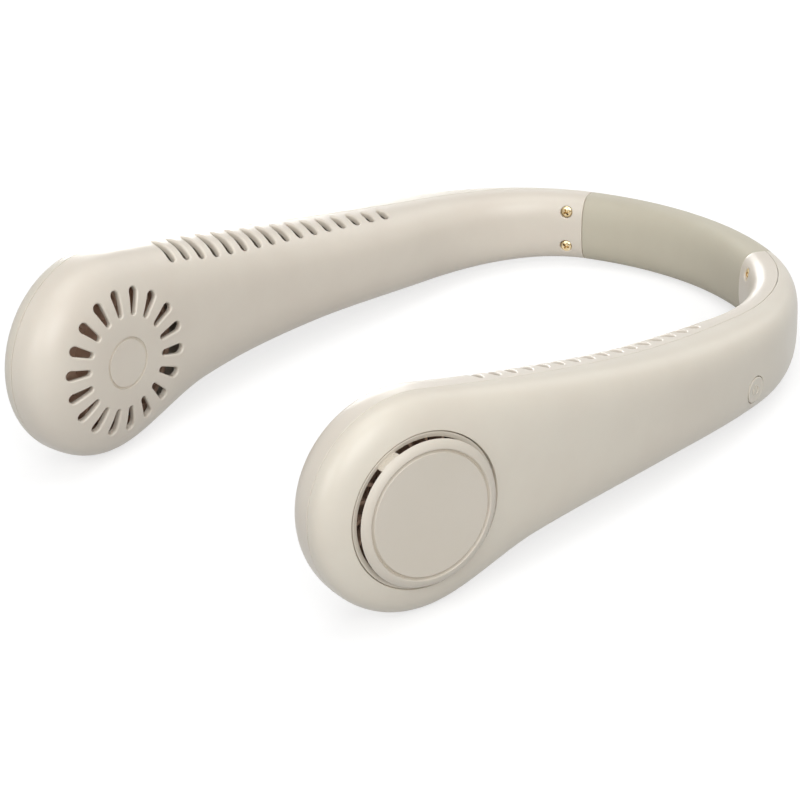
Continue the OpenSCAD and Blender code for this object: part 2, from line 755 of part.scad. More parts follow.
module battery() {
    at_station(cell_s) translate([0, cell_mid_t, cell_z]) rotate([0, 90 + cell_slope, 0])
        translate([0, 0, -cell_len / 2]) {
            cylinder(r = cell_r, h = cell_len - cap_h);
            cylinder(r = cap_r, h = cell_len);
        }
}
module battery_pads() {
    at_station(cell_s) difference() {
        for (x = [-pad_at, pad_at])
            translate([x - pad_len / 2, cell_mid_t - pad_w, bottom_z(cell_s + x) + wall + pad_rise])
                cube([pad_len, 2 * pad_w, pad_h]);
        translate([0, cell_mid_t, cell_z]) rotate([0, 90 + cell_slope, 0])
            cylinder(r = cell_r + fit, h = cell_len, center = true);
    }
}
module fan_leads() {
    for (k = [0, 1])
        along_arm(fan_s - divider_back, fan_s - divider_front)
            translate([lead_at - k * lead_pitch, divider_z - loose - lead_r])
                circle(r = lead_r);
}

module band_clamp() {
    difference() {
        at_station(band_screw_s)
            translate([-clamp_w / 2, clamp_out, band_rise - band_screw_z - clamp_over])
                cube([clamp_w, clamp_t, 2 * (band_screw_z + clamp_over)]);
        band_hole_places() cylinder(r = band_screw_r + fit, h = clamp_out + clamp_t + overrun);
    }
}
module band_screws() {
    head_low = -inner_at(band_screw_s) + head_sunk;
    band_hole_places() difference() {
        union() {
            translate([0, 0, head_low])
                cylinder(r1 = band_head_r, r2 = band_screw_r, h = band_head_t);
            translate([0, 0, head_low])
                cylinder(r = band_screw_r, h = clamp_out + clamp_t - head_low);
        }
        for (a = [0, 90]) rotate([0, 0, a])
            translate([-band_head_r / 2, -recess_w / 2, head_low - overrun])
                cube([band_head_r, recess_w, overrun + band_head_t / 2]);
    }
}

// Sections of the band in [t, z]: the outline, and the tongue that each arm clamps
outline_step = 10;
module band_outline() {
    pts = [for (a = [0:outline_step:180]) section_point(a, band_half_t, band_half_t, band_half_h)];
    translate([0, band_rise]) polygon(concat(pts,
        [for (k = [len(pts) - 2:-1:1]) [pts[k][0], -pts[k][1]]]));
}
module tongue_outline() {
    in = wall + loose;
    o = band_half_t - in;
    h = band_half_h - in;
    first = angle_of(tongue_out, o, o);
    pts = [for (k = [0:10]) section_point(first + (180 - first) * k / 10, o, o, h)];
    translate([0, band_rise]) polygon(concat(pts,
        [for (k = [len(pts) - 2:-1:0]) [pts[k][0], -pts[k][1]]]));
}
module both_sides() {
    children();
    mirror([1, 0, 0]) children();
}
module band_sleeve() {
    color(band_color) rest() difference() {
        union() {
            along_back(-back_len, back_len) band_outline();
            both_sides() along_corner(back_len - tongue_root, back_len + tongue_len)
                tongue_outline();
        }
        along_back(-back_len, back_len) strip_section(fit);
        along_back(-back_len, back_len) wire_sections(fit);
        both_sides() along_corner(back_len - tongue_root, back_len + tongue_len + overrun) {
            strip_section(strip_fold + fit);
            wire_sections(wire_cover + fit);
        }
        both_sides() band_hole_places() translate([0, 0, -band_half_t])
            cylinder(r = band_screw_r + snug, h = band_t);
    }
}
module strip_section(gap) {
    translate([strip_at - strip_t / 2 - gap, band_rise - strip_h / 2 - gap])
        square([strip_t + 2 * gap, strip_h + 2 * gap]);
}
module wire_sections(gap) {
    for (k = [-1:1])
        translate([wire_at, band_rise + k * wire_pitch]) circle(r = wire_r + gap);
}
module band_spring_strip() {
    color([0.7, 0.71, 0.73]) rest() {
        along_back(-back_len, back_len) strip_section(0);
        both_sides() along_corner(back_len - tongue_root, back_len + tongue_len)
            strip_section(strip_fold);
    }
}
module band_wires() {
    color([0.75, 0.15, 0.12]) rest() {
        along_back(-back_len, back_len) wire_sections(0);
        both_sides() along_corner(back_len - tongue_root, wire_s) wire_sections(wire_cover);
    }
}

// Controls
function button_skin(z) =
    outer_depth(z - mid_z(button_s), outer_at(button_s), half_h(button_s));
// The button's face leans as the arm does there, and is dished inside a narrow rim
module power_button() {
    high = button_skin(button_z + button_r);
    low = button_skin(button_z - button_r);
    lean = atan2(high - low, 2 * button_r);
    color(shell_color) left() at_station(button_s) translate([0, 0, button_z])
        rotate([-90, 0, 0]) difference() {
            union() {
                translate([0, 0, flange_top - flange_t / 2])
                    cylinder(r = button_r, h = button_face - flange_top + flange_t);
                translate([0, 0, flange_top - flange_t])
                    cylinder(r = button_r + flange_over, h = flange_t);
                translate([0, 0, stem_end]) cylinder(r = stem_r, h = flange_top - stem_end);
            }
            translate([0, 0, (high + low) / 2 + button_proud]) rotate([-lean, 0, 0]) {
                translate([-2 * button_r, -2 * button_r, 0])
                    cube([4 * button_r, 4 * button_r, button_r]);
                translate([0, 0, -button_dish])
                    cylinder(r = button_r - button_rim, h = button_dish + overrun);
            }
        }
}
module push_switch() {
    color([0.2, 0.2, 0.22]) left() at_station(button_s) translate([0, 0, button_z])
        rotate([-90, 0, 0]) {
            translate([-switch_w / 2, -switch_w / 2, board_top])
                cube([switch_w, switch_w, switch_t]);
            translate([0, 0, board_top])
                cylinder(r = plunger_r, h = plunger_top - board_top);
        }
}
module main_board() {
    color([0.1, 0.4, 0.25]) left() difference() {
        at_station(button_s)
            translate([-pcb_back, board_top - pcb_t, button_z - pcb_down])
                cube([pcb_back + pcb_front, pcb_t - fit, pcb_up + pcb_down]);
        board_screw_places() translate([0, 0, board_top - pcb_t - overrun])
            cylinder(r = pcb_screw_r + snug, h = pcb_t + 2 * overrun);
    }
}
module board_screws() {
    color([0.75, 0.75, 0.77]) left() board_screw_places() {
        translate([0, 0, board_top - pcb_t]) cylinder(r = pcb_screw_r - fit, h = pcb_t * 2.5);
        translate([0, 0, board_top - 1.8 * pcb_t])
            cylinder(r = 2 * pcb_screw_r, h = 0.8 * pcb_t - fit);
    }
}
// The inlet's own frame: Z upward from its mouth, X along the arm
module usb_place() {
    at_station(button_s) translate([-usb_back, board_top - pcb_t - usb_t / 2 - fit,
        bottom_z(button_s - usb_back) + usb_sunk]) children();
}
module usb_outline(half_w, half_t, height) {
    for (x = [half_t - half_w, half_w - half_t])
        translate([x, 0, 0]) cylinder(r = half_t, h = height);
    translate([half_t - half_w, -half_t, 0])
        cube([2 * (half_w - half_t), 2 * half_t, height]);
}
module usb_socket() {
    color([0.75, 0.76, 0.78]) left() usb_place() {
        difference() {
            usb_outline(usb_w / 2, usb_t / 2, usb_depth);
            translate([0, 0, -overrun])
                usb_outline(usb_w / 2 - usb_wall, usb_t / 2 - usb_wall, usb_depth);
        }
        translate([-usb_w / 3, -usb_tongue_t / 2, usb_tongue_in])
            cube([usb_w / 1.5, usb_tongue_t, usb_depth - 2 * usb_tongue_in]);
    }
}

module steel() {
    color([0.72, 0.73, 0.75]) children();
}
module dark() {
    color([0.22, 0.2, 0.2]) children();
}
module left_outer_shell() { color(shell_color) left() outer_shell(true); }
module right_outer_shell() { color(shell_color) right() outer_shell(false); }
module left_inner_shell() { color(shell_color) left() inner_shell(); }
module right_inner_shell() { color(shell_color) right() inner_shell(); }
module left_intake_cover() { color(shell_color) left() intake_cover(); }
module right_intake_cover() { color(shell_color) right() intake_cover(); }
module left_band_clamp() { steel() left() band_clamp(); }
module right_band_clamp() { steel() right() band_clamp(); }
module left_band_screws() { color([0.75, 0.62, 0.35]) left() band_screws(); }
module right_band_screws() { color([0.75, 0.62, 0.35]) right() band_screws(); }
module left_motor_base() { dark() left() motor_base(); }
module right_motor_base() { dark() right() motor_base(); }
module left_motor_screws() { steel() left() motor_screws(); }
module right_motor_screws() { steel() right() motor_screws(); }
module left_motor_board() { color([0.1, 0.4, 0.25]) left() motor_board(); }
module right_motor_board() { color([0.1, 0.4, 0.25]) right() motor_board(); }
module left_bearing() { color([0.7, 0.55, 0.3]) left() bearing(); }
module right_bearing() { color([0.7, 0.55, 0.3]) right() bearing(); }
module left_stator() { steel() left() stator(); }
module right_stator() { steel() right() stator(); }
module left_windings() { color([0.72, 0.4, 0.2]) left() windings(); }
module right_windings() { color([0.72, 0.4, 0.2]) right() windings(); }
module left_shaft() { steel() left() shaft(); }
module right_shaft() { steel() right() shaft(); }
module left_rotor_cup() { steel() left() rotor_cup(); }
module right_rotor_cup() { steel() right() rotor_cup(); }
module left_rotor_magnet() { dark() left() rotor_magnet(); }
module right_rotor_magnet() { dark() right() rotor_magnet(); }
module left_impeller() { color([0.35, 0.29, 0.26]) left() impeller(); }
module right_impeller() { color([0.35, 0.29, 0.26]) right() impeller(); }
module left_duct_divider() { color([0.6, 0.56, 0.5]) left() duct_divider(); }
module right_duct_divider() { color([0.6, 0.56, 0.5]) right() duct_divider(); }
module left_battery() { color([0.2, 0.35, 0.6]) left() battery(); }
module right_battery() { color([0.2, 0.35, 0.6]) right() battery(); }
module left_battery_pads() { dark() left() battery_pads(); }
module right_battery_pads() { dark() right() battery_pads(); }
module left_fan_leads() { color([0.75, 0.15, 0.12]) left() fan_leads(); }
module right_fan_leads() { color([0.75, 0.15, 0.12]) right() fan_leads(); }

band_sleeve();
band_spring_strip();
band_wires();
left_outer_shell();
left_inner_shell();
left_intake_cover();
left_band_clamp();
left_band_screws();
left_motor_base();
left_motor_screws();
left_motor_board();
left_bearing();
left_stator();
left_windings();
left_shaft();
left_rotor_cup();
left_rotor_magnet();
left_impeller();
left_duct_divider();
left_battery();
left_battery_pads();
left_fan_leads();
right_outer_shell();
right_inner_shell();
right_intake_cover();
right_band_clamp();
right_band_screws();
right_motor_base();
right_motor_screws();
right_motor_board();
right_bearing();
right_stator();
right_windings();
right_shaft();
right_rotor_cup();
right_rotor_magnet();
right_impeller();
right_duct_divider();
right_battery();
right_battery_pads();
right_fan_leads();
power_button();
push_switch();
main_board();
board_screws();
usb_socket();
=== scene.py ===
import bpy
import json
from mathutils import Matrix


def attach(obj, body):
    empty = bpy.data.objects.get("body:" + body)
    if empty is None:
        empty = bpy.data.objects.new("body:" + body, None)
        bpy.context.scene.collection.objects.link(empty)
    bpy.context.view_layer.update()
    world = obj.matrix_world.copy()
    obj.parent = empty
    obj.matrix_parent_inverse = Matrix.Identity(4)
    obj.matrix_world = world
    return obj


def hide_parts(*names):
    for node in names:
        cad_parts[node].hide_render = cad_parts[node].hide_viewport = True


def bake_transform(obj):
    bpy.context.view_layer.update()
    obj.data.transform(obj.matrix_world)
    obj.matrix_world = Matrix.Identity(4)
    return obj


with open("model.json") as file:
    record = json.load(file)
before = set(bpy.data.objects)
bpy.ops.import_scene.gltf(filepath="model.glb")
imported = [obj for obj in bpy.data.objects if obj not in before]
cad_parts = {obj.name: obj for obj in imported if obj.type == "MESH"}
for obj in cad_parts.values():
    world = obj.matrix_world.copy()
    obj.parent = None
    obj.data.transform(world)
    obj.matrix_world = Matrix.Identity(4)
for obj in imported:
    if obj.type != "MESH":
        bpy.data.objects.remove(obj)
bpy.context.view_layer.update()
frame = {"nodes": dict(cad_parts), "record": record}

import json
from math import (acos, asin, atan2, cos, degrees, hypot, inf, pi, radians as rad, sin, sqrt,
                  tan, tau)
import bpy
import bmesh
import numpy as np
from mathutils import Matrix, Vector
from mathutils.bvhtree import BVHTree
from mathutils.interpolate import poly_3d_calc

scene = bpy.context.scene
nodes = frame["nodes"]
mm = 0.001
bothSides = ((-1, "right"), (1, "left"))
print("neck fan: frame loaded with", len(nodes), "solids")

# The neck line and the arm's sections, in mm, as the solids have them. Heights count from the
# fan axis, s runs along the neck line from the middle of the band, t is outward from it.
form = {
    "backR": 84.0, "backAngle": 25.0, "cornerR": 58.5, "cornerAngle": 56.2,
    "armR": 384.0, "armAngle": 18.2, "fanR": 30.0, "outerT": 10.6, "innerT": 14.2,
    "wall": 2.0, "bandT": 12.2, "bandH": 20.6, "bandRise": 7.9,
    "tops": [18.2, 18.0, 20.5, 25.7], "bottoms": [-2.4, -7.6, -10.9, -18.3],
    "seams": [2.0, -0.8, 0.2, 1.5, 2.0], "shares": [0.0, 0.3, 0.55, 0.8],
    "bottomRunIn": 11.2, "outerN": 3.36, "innerN": 2.72,
    "tilt": 9.08549, "lift": 2.61823, "shiftY": 96.64,
}
backLen = form["backR"] * rad(form["backAngle"])
cornerS = backLen + form["cornerR"] * rad(form["cornerAngle"])
fanS = cornerS + form["armR"] * rad(form["armAngle"])
bandHalfT, bandHalfH, fanR, wall = form["bandT"] / 2, form["bandH"] / 2, form["fanR"], form["wall"]


def outward(a):
    return np.array([sin(rad(a)), cos(rad(a))])


def evenly(a, b, n):  # n + 1 values from a to b
    return [a + (b - a) * k / n for k in range(n + 1)]


def polar(r, a, x=0.0, y=0.0):  # the point at a radius and an angle round (x, y)
    return x + r * cos(a), y + r * sin(a)


backC = np.array([0.0, -form["backR"]])
cornerC = backC + (form["backR"] - form["cornerR"]) * outward(form["backAngle"])
armC = cornerC + (form["cornerR"] - form["armR"]) * outward(form["backAngle"] + form["cornerAngle"])


# each arc of the neck line: its end, start, middle, radius and first heading
arcs = ((backLen, 0.0, backC, form["backR"], 0.0),
        (cornerS, backLen, cornerC, form["cornerR"], form["backAngle"]),
        (inf, cornerS, armC, form["armR"], form["backAngle"] + form["cornerAngle"]))


def arcAt(s):
    return next(arc for arc in arcs if s < arc[0])


def heading(s):
    _, start, _, radius, first = arcAt(s)
    return first + degrees((s - start) / radius)


def neckPoint(s, t=0.0):
    _, _, middle, radius, _ = arcAt(s)
    return middle + (radius + t) * outward(heading(s))


def smoothAt(s, knots, values, last):
    if s <= knots[0]:
        return values[0]
    if s >= knots[-1]:
        return values[-1]
    i = max(j for j in range(len(knots) - 1) if s >= knots[j])
    h = knots[i + 1] - knots[i]

    def slope(j):
        if j == 0:
            return 0.0
        if j == len(knots) - 1:
            return last
        return (values[j + 1] - values[j - 1]) / (knots[j + 1] - knots[j - 1])

    u = (s - knots[i]) / h
    return ((2 * u**3 - 3 * u**2 + 1) * values[i] + (u**3 - 2 * u**2 + u) * slope(i) * h
            + (3 * u**2 - 2 * u**3) * values[i + 1] + (u**3 - u**2) * slope(i + 1) * h)


armKnots = [backLen + (fanS - backLen) * q for q in form["shares"]]
nearRun, nearTop = fanS - armKnots[3], form["tops"][3]
# the top edge meets the fan's circle along the tangent from its last knot
topRunIn = atan2(nearRun, nearTop) - acos(fanR / hypot(nearRun, nearTop))
topEnd = fanS - fanR * sin(topRunIn)
bottomEnd = fanS - fanR * sin(rad(form["bottomRunIn"]))


def circleZ(s):
    return sqrt(max(0.0, fanR**2 - (fanS - s)**2))


def topZ(s):
    return circleZ(s) if s > topEnd else smoothAt(
        s, armKnots + [topEnd], form["tops"] + [fanR * cos(topRunIn)], tan(topRunIn))


def bottomZ(s):
    return -circleZ(s) if s > bottomEnd else smoothAt(
        s, armKnots + [bottomEnd], form["bottoms"] + [-fanR * cos(rad(form["bottomRunIn"]))],
        -tan(rad(form["bottomRunIn"])))


def seamT(s):
    return smoothAt(s, armKnots + [fanS], form["seams"], 0.0)


def growth(s):
    u = min(max((s - backLen) / ((fanS - backLen) / 2), 0.0), 1.0)
    return u * u * (3 - 2 * u)


def outerAt(s):
    return bandHalfT + (form["outerT"] - bandHalfT) * growth(s)


def innerAt(s):
    return bandHalfT + (form["innerT"] - bandHalfT) * growth(s)


def midZ(s):
    return (topZ(s) + bottomZ(s)) / 2


def halfH(s):
    return (topZ(s) - bottomZ(s)) / 2


def sizesAt(s, inset=0.0):  # outer depth, inner depth and half height
    return outerAt(s) - inset, innerAt(s) - inset, halfH(s) - inset


def sectionPoint(a, o, i, h):  # a in degrees: 0 at the outer face, 90 at the edge, 180 inside
    c, s = cos(rad(a)), max(0.0, sin(rad(a)))
    if a <= 90:
        return o * max(0.0, c) ** (2 / form["outerN"]), h * s ** (2 / form["outerN"])
    return -i * max(0.0, -c) ** (2 / form["innerN"]), h * s ** (2 / form["innerN"])


def angleOf(t, o, i):
    if t >= 0:
        return degrees(acos(min(1.0, (t / o) ** (form["outerN"] / 2))))
    return 180 - degrees(acos(min(1.0, (-t / i) ** (form["innerN"] / 2))))


def edgeH(t, o, i, h):
    return sectionPoint(angleOf(t, o, i), o, i, h)[1]


def skinDepth(s, z, outer):  # t of the skin at a height over the fan axis
    n = form["outerN"] if outer else form["innerN"]
    share = min(1.0, abs(z - midZ(s)) / halfH(s))
    depth = (outerAt(s) if outer else innerAt(s)) * (1 - share**n) ** (1 / n)
    return depth if outer else -depth


# ---- helpers ----
def restMatrix(side):  # neck frame in mm to the resting part in metres; side is 1 left, -1 right
    c, s = cos(rad(form["tilt"])), sin(rad(form["tilt"]))
    return Matrix(((side * mm, 0, 0, 0), (0, c * mm, s * mm, form["shiftY"] * mm),
                   (0, -s * mm, c * mm, form["lift"] * mm), (0, 0, 0, 1)))


def meshFrom(name, verts, faces):
    mesh = bpy.data.meshes.new(name)
    mesh.from_pydata([tuple(v) for v in verts], [], faces)
    mesh.update()
    return mesh


def addObject(name, mesh):
    obj = bpy.data.objects.new(name, mesh)
    scene.collection.objects.link(obj)
    return obj


mergeWithin = 1e-4


def faceOut(mesh, merge=0.0):  # turns all faces outwards, and first closes seams and poles if asked
    bm = bmesh.new()
    bm.from_mesh(mesh)
    if merge:
        bmesh.ops.remove_doubles(bm, verts=bm.verts, dist=merge)
        bmesh.ops.dissolve_degenerate(bm, edges=bm.edges, dist=merge / 10)
    bmesh.ops.recalc_face_normals(bm, faces=bm.faces)
    bm.to_mesh(mesh)
    bm.free()
    mesh.update()
    return mesh


def tubeFaces(rows, count, loop=False):  # quads between closed outlines, with caps unless they loop
    faces = []
    for k in range(rows if loop else rows - 1):
        a, b = k * count, (k + 1) % rows * count
        faces += [(a + j, a + (j + 1) % count, b + (j + 1) % count, b + j) for j in range(count)]
    if not loop:
        last = (rows - 1) * count
        faces += [tuple(range(count))[::-1], tuple(range(last, last + count))]
    return faces


def joinMeshes(name, meshes):
    bm = bmesh.new()
    for mesh in meshes:
        bm.from_mesh(mesh)
    joined = bpy.data.meshes.new(name)
    bm.to_mesh(joined)
    bm.free()
    return joined


def paint(mesh, slotName):  # one finish on the whole mesh
    mesh.materials.clear()
    mesh.materials.append(finishes[slotName])
    for poly in mesh.polygons:
        poly.material_index = 0


def smoothMesh(mesh, angle=32):
    mesh.shade_smooth()
    mesh.set_sharp_from_angle(angle=rad(angle))
    return mesh


def turned(mesh, matrix):  # a changed copy, its faces still outwards
    out = mesh.copy()
    out.transform(matrix)
    if matrix.determinant() < 0:
        out.flip_normals()
    return out


def bakedMesh(obj):  # the mesh with its modifiers applied; the object goes
    graph = bpy.context.evaluated_depsgraph_get()
    mesh = bpy.data.meshes.new_from_object(obj.evaluated_get(graph), depsgraph=graph)
    bpy.data.objects.remove(obj)
    return mesh


def cutWith(mesh, cutters, name):  # takes closed cutters out of a closed mesh
    target, tool = addObject(name, mesh), addObject(name + "Cutter", cutters)
    mod = target.modifiers.new("cut", "BOOLEAN")
    mod.solver, mod.operation, mod.object = "MANIFOLD", "DIFFERENCE", tool
    result = bakedMesh(target)
    bpy.data.objects.remove(tool)
    return result


# ---- node trees ----
def feed(tree, node, inputs):  # links an input where its value is a socket, or else sets it
    for key, value in inputs.items():
        if isinstance(value, bpy.types.NodeSocket):
            tree.links.new(value, node.inputs[key])
        else:
            node.inputs[key].default_value = value


def addNode(tree, kind, inputs=None, **settings):
    node = tree.nodes.new(kind)
    for key, value in settings.items():
        setattr(node, key, value)
    feed(tree, node, inputs or {})
    return node


def newGroup(name, kind, inputs, outputs):  # a tree with its sockets, and the nodes at its ends
    tree = bpy.data.node_groups.new(name, kind)
    for label, socketKind, value in inputs:
        socket = tree.interface.new_socket(label, in_out="INPUT",
                                           socket_type="NodeSocket" + socketKind)
        if value is not None:
            socket.default_value = value
    for label, socketKind in outputs:
        tree.interface.new_socket(label, in_out="OUTPUT", socket_type="NodeSocket" + socketKind)
    return tree, tree.nodes.new("NodeGroupInput"), tree.nodes.new("NodeGroupOutput")


class TreeBuilder:
    def __init__(self, name, inputs):
        self.tree, self.start, self.end = newGroup(
            name, "GeometryNodeTree", [("Geometry", "Geometry", None)] + inputs,
            [("Geometry", "Geometry")])

    def add(self, kind, inputs=None, **settings):
        return addNode(self.tree, kind, inputs, **settings)

    def math(self, operation, a, b=0.0):
        return self.add("ShaderNodeMath", {0: a, 1: b}, operation=operation).outputs[0]

    def close(self, geometry):  # what leaves the tree is plain mesh with its material
        real = self.add("GeometryNodeRealizeInstances", {"Geometry": geometry})
        painted = self.add("GeometryNodeSetMaterial", {
            "Geometry": real.outputs[0], "Material": self.start.outputs["Material"]})
        feed(self.tree, self.end, {0: painted.outputs[0]})
        return self.tree


def ringTree():  # copies of the template, turned round the Z axis
    b = TreeBuilder("ringOfCopies", [
        ("Count", "Int", 6), ("Start Angle", "Float", 0.0), ("Material", "Material", None)])
    points = b.add("GeometryNodePoints", {"Count": b.start.outputs["Count"]})
    index = b.add("GeometryNodeInputIndex").outputs[0]
    step = b.math("DIVIDE", tau, b.start.outputs["Count"])
    angle = b.math("ADD", b.math("MULTIPLY", index, step), b.start.outputs["Start Angle"])
    turn = b.add("ShaderNodeCombineXYZ", {"Z": angle}).outputs[0]
    copies = b.add("GeometryNodeInstanceOnPoints", {
        "Points": points.outputs[0], "Instance": b.start.outputs["Geometry"], "Rotation": turn})
    return b.close(copies.outputs[0])


def rowTree():  # copies of the template in a straight row, given by its step
    b = TreeBuilder("rowOfCopies", [
        ("Count", "Int", 2), ("Step", "Vector", (1.0, 0.0, 0.0)),
        ("Material", "Material", None)])
    row = b.add("GeometryNodeMeshLine", {
        "Count": b.start.outputs["Count"], "Offset": b.start.outputs["Step"]}, mode="OFFSET")
    copies = b.add("GeometryNodeInstanceOnPoints", {
        "Points": row.outputs[0], "Instance": b.start.outputs["Geometry"]})
    return b.close(copies.outputs[0])


def turnTree():  # a profile, given as a line of points in X and Z, turned once round the Z axis
    b = TreeBuilder("turnedProfile", [
        ("Steps", "Int", 96), ("Material", "Material", None)])
    profile = b.start.outputs["Geometry"]
    size = b.add("GeometryNodeAttributeDomainSize", {"Geometry": profile}, component="MESH")
    count = size.outputs["Point Count"]
    steps = b.start.outputs["Steps"]
    grid = b.add("GeometryNodeMeshGrid", {
        "Vertices X": b.math("ADD", steps, 1.0), "Vertices Y": count})
    index = b.add("GeometryNodeInputIndex").outputs[0]
    column = b.math("FLOOR", b.math("DIVIDE", b.math("ADD", index, 0.5), count))
    row = b.math("SUBTRACT", index, b.math("MULTIPLY", column, count))
    angle = b.math("MULTIPLY", column, b.math("DIVIDE", tau, steps))
    here = b.add("GeometryNodeSampleIndex", {
        "Geometry": profile, "Value": b.add("GeometryNodeInputPosition").outputs[0],
        "Index": row}, data_type="FLOAT_VECTOR")
    part = b.add("ShaderNodeSeparateXYZ", {0: here.outputs["Value"]})
    place = b.add("ShaderNodeCombineXYZ", {
        "X": b.math("MULTIPLY", part.outputs["X"], b.math("COSINE", angle)),
        "Y": b.math("MULTIPLY", part.outputs["X"], b.math("SINE", angle)),
        "Z": part.outputs["Z"]}).outputs[0]
    moved = b.add("GeometryNodeSetPosition", {"Geometry": grid.outputs[0], "Position": place})
    closed = b.add("GeometryNodeMergeByDistance", {
        "Geometry": moved.outputs[0], "Distance": mergeWithin})
    return b.close(closed.outputs[0])


trees = {"ring": ringTree(), "row": rowTree(), "turn": turnTree()}


def grow(name, template, tree, values):  # runs a tree on a template and keeps the plain mesh
    obj = addObject(name, template)
    mod = obj.modifiers.new(name, "NODES")
    mod.node_group = trees[tree]
    for item in trees[tree].interface.items_tree:
        if item.item_type == "SOCKET" and item.in_out == "INPUT" and item.name in values:
            mod[item.identifier] = values[item.name]
    return bakedMesh(obj)


def turnProfile(name, points, material, steps=96):  # points are (radius, height) in mm
    line = bpy.data.meshes.new(name + "Line")
    line.from_pydata([(r, 0.0, z) for r, z in points],
                     [(k, k + 1) for k in range(len(points) - 1)], [])
    mesh = grow(name, line, "turn", {"Steps": steps, "Material": material})
    return faceOut(mesh, 2 * mergeWithin)


# ---- materials ----
def tint(r, g, b):  # a colour as it is seen, 0 to 255, as the shader's own numbers
    def one(c):
        c = c / 255
        return c / 12.92 if c <= 0.04045 else ((c + 0.055) / 1.055) ** 2.4
    return (one(r), one(g), one(b), 1.0)


def noiseSpread(tree, start, low, high, **noiseInputs):  # a noise, and its middle range spread out
    noise = addNode(tree, "ShaderNodeTexNoise", {
        "Vector": start.outputs["Vector"], "Scale": start.outputs["Scale"], **noiseInputs})
    return noise, addNode(tree, "ShaderNodeMapRange", {
        "From Min": low, "From Max": high, "Value": noise.outputs["Fac"]})


def mouldGrainGroup():  # the fine spark texture of a moulding tool
    tree, start, end = newGroup("mouldGrain", "ShaderNodeTree", [
        ("Vector", "Vector", (0, 0, 0)), ("Scale", "Float", 3000.0),
        ("Smooth", "Float", 0.35), ("Rough", "Float", 0.45)],
        [("Height", "Float"), ("Roughness", "Float")])
    fine, spread = noiseSpread(tree, start, 0.3, 0.7, Detail=3.0)
    feed(tree, spread, {"To Min": start.outputs["Smooth"], "To Max": start.outputs["Rough"]})
    feed(tree, end, {"Height": fine.outputs["Fac"], "Roughness": spread.outputs["Result"]})
    return tree


def slowToneGroup():  # slow, faint changes of tone, as in any moulding or casting
    tree, start, end = newGroup("slowTone", "ShaderNodeTree", [
        ("Vector", "Vector", (0, 0, 0)), ("Scale", "Float", 40.0),
        ("Color", "Color", (0.8, 0.8, 0.8, 1)), ("Deep", "Color", (0.7, 0.7, 0.7, 1))],
        [("Color", "Color")])
    _, spread = noiseSpread(tree, start, 0.35, 0.68, Detail=4.0, Roughness=0.6)
    mix = addNode(tree, "ShaderNodeMix", {
        "Factor": spread.outputs["Result"], "A": start.outputs["Color"],
        "B": start.outputs["Deep"]}, data_type="RGBA")
    feed(tree, end, {"Color": mix.outputs["Result"]})
    return tree


grainGroup, toneGroup = mouldGrainGroup(), slowToneGroup()


def finish(name, color, deep, smooth, rough, grain=3000.0, bump=0.05, tone=40.0, metal=0.0,
           coat=0.0, sheen=0.0, level=0.5, bleed=0.0, stretch=(1, 1, 1)):
    mat = bpy.data.materials.new(name)
    mat.use_nodes = True
    tree = mat.node_tree
    mapping = addNode(tree, "ShaderNodeMapping", {
        "Vector": addNode(tree, "ShaderNodeTexCoord").outputs["Object"], "Scale": stretch})
    fine, slow = [
        addNode(tree, "ShaderNodeGroup", {"Vector": mapping.outputs[0], **values}, node_tree=group)
        for group, values in (
            (grainGroup, {"Scale": grain, "Smooth": smooth, "Rough": rough}),
            (toneGroup, {"Scale": tone, "Color": tint(*color), "Deep": tint(*deep)}))]
    relief = addNode(tree, "ShaderNodeBump", {
        "Strength": bump, "Distance": 0.0002, "Height": fine.outputs["Height"]})
    feed(tree, tree.nodes["Principled BSDF"], {
        "Metallic": metal, "Specular IOR Level": level, "Coat Weight": coat,
        "Coat Roughness": 0.25, "Sheen Weight": sheen, "Sheen Roughness": 0.5,
        "Subsurface Weight": bleed, "Subsurface Scale": 0.0015,
        "Subsurface Radius": (1.0, 0.6, 0.45), "Base Color": slow.outputs["Color"],
        "Roughness": fine.outputs["Roughness"], "Normal": relief.outputs[0]})
    return mat


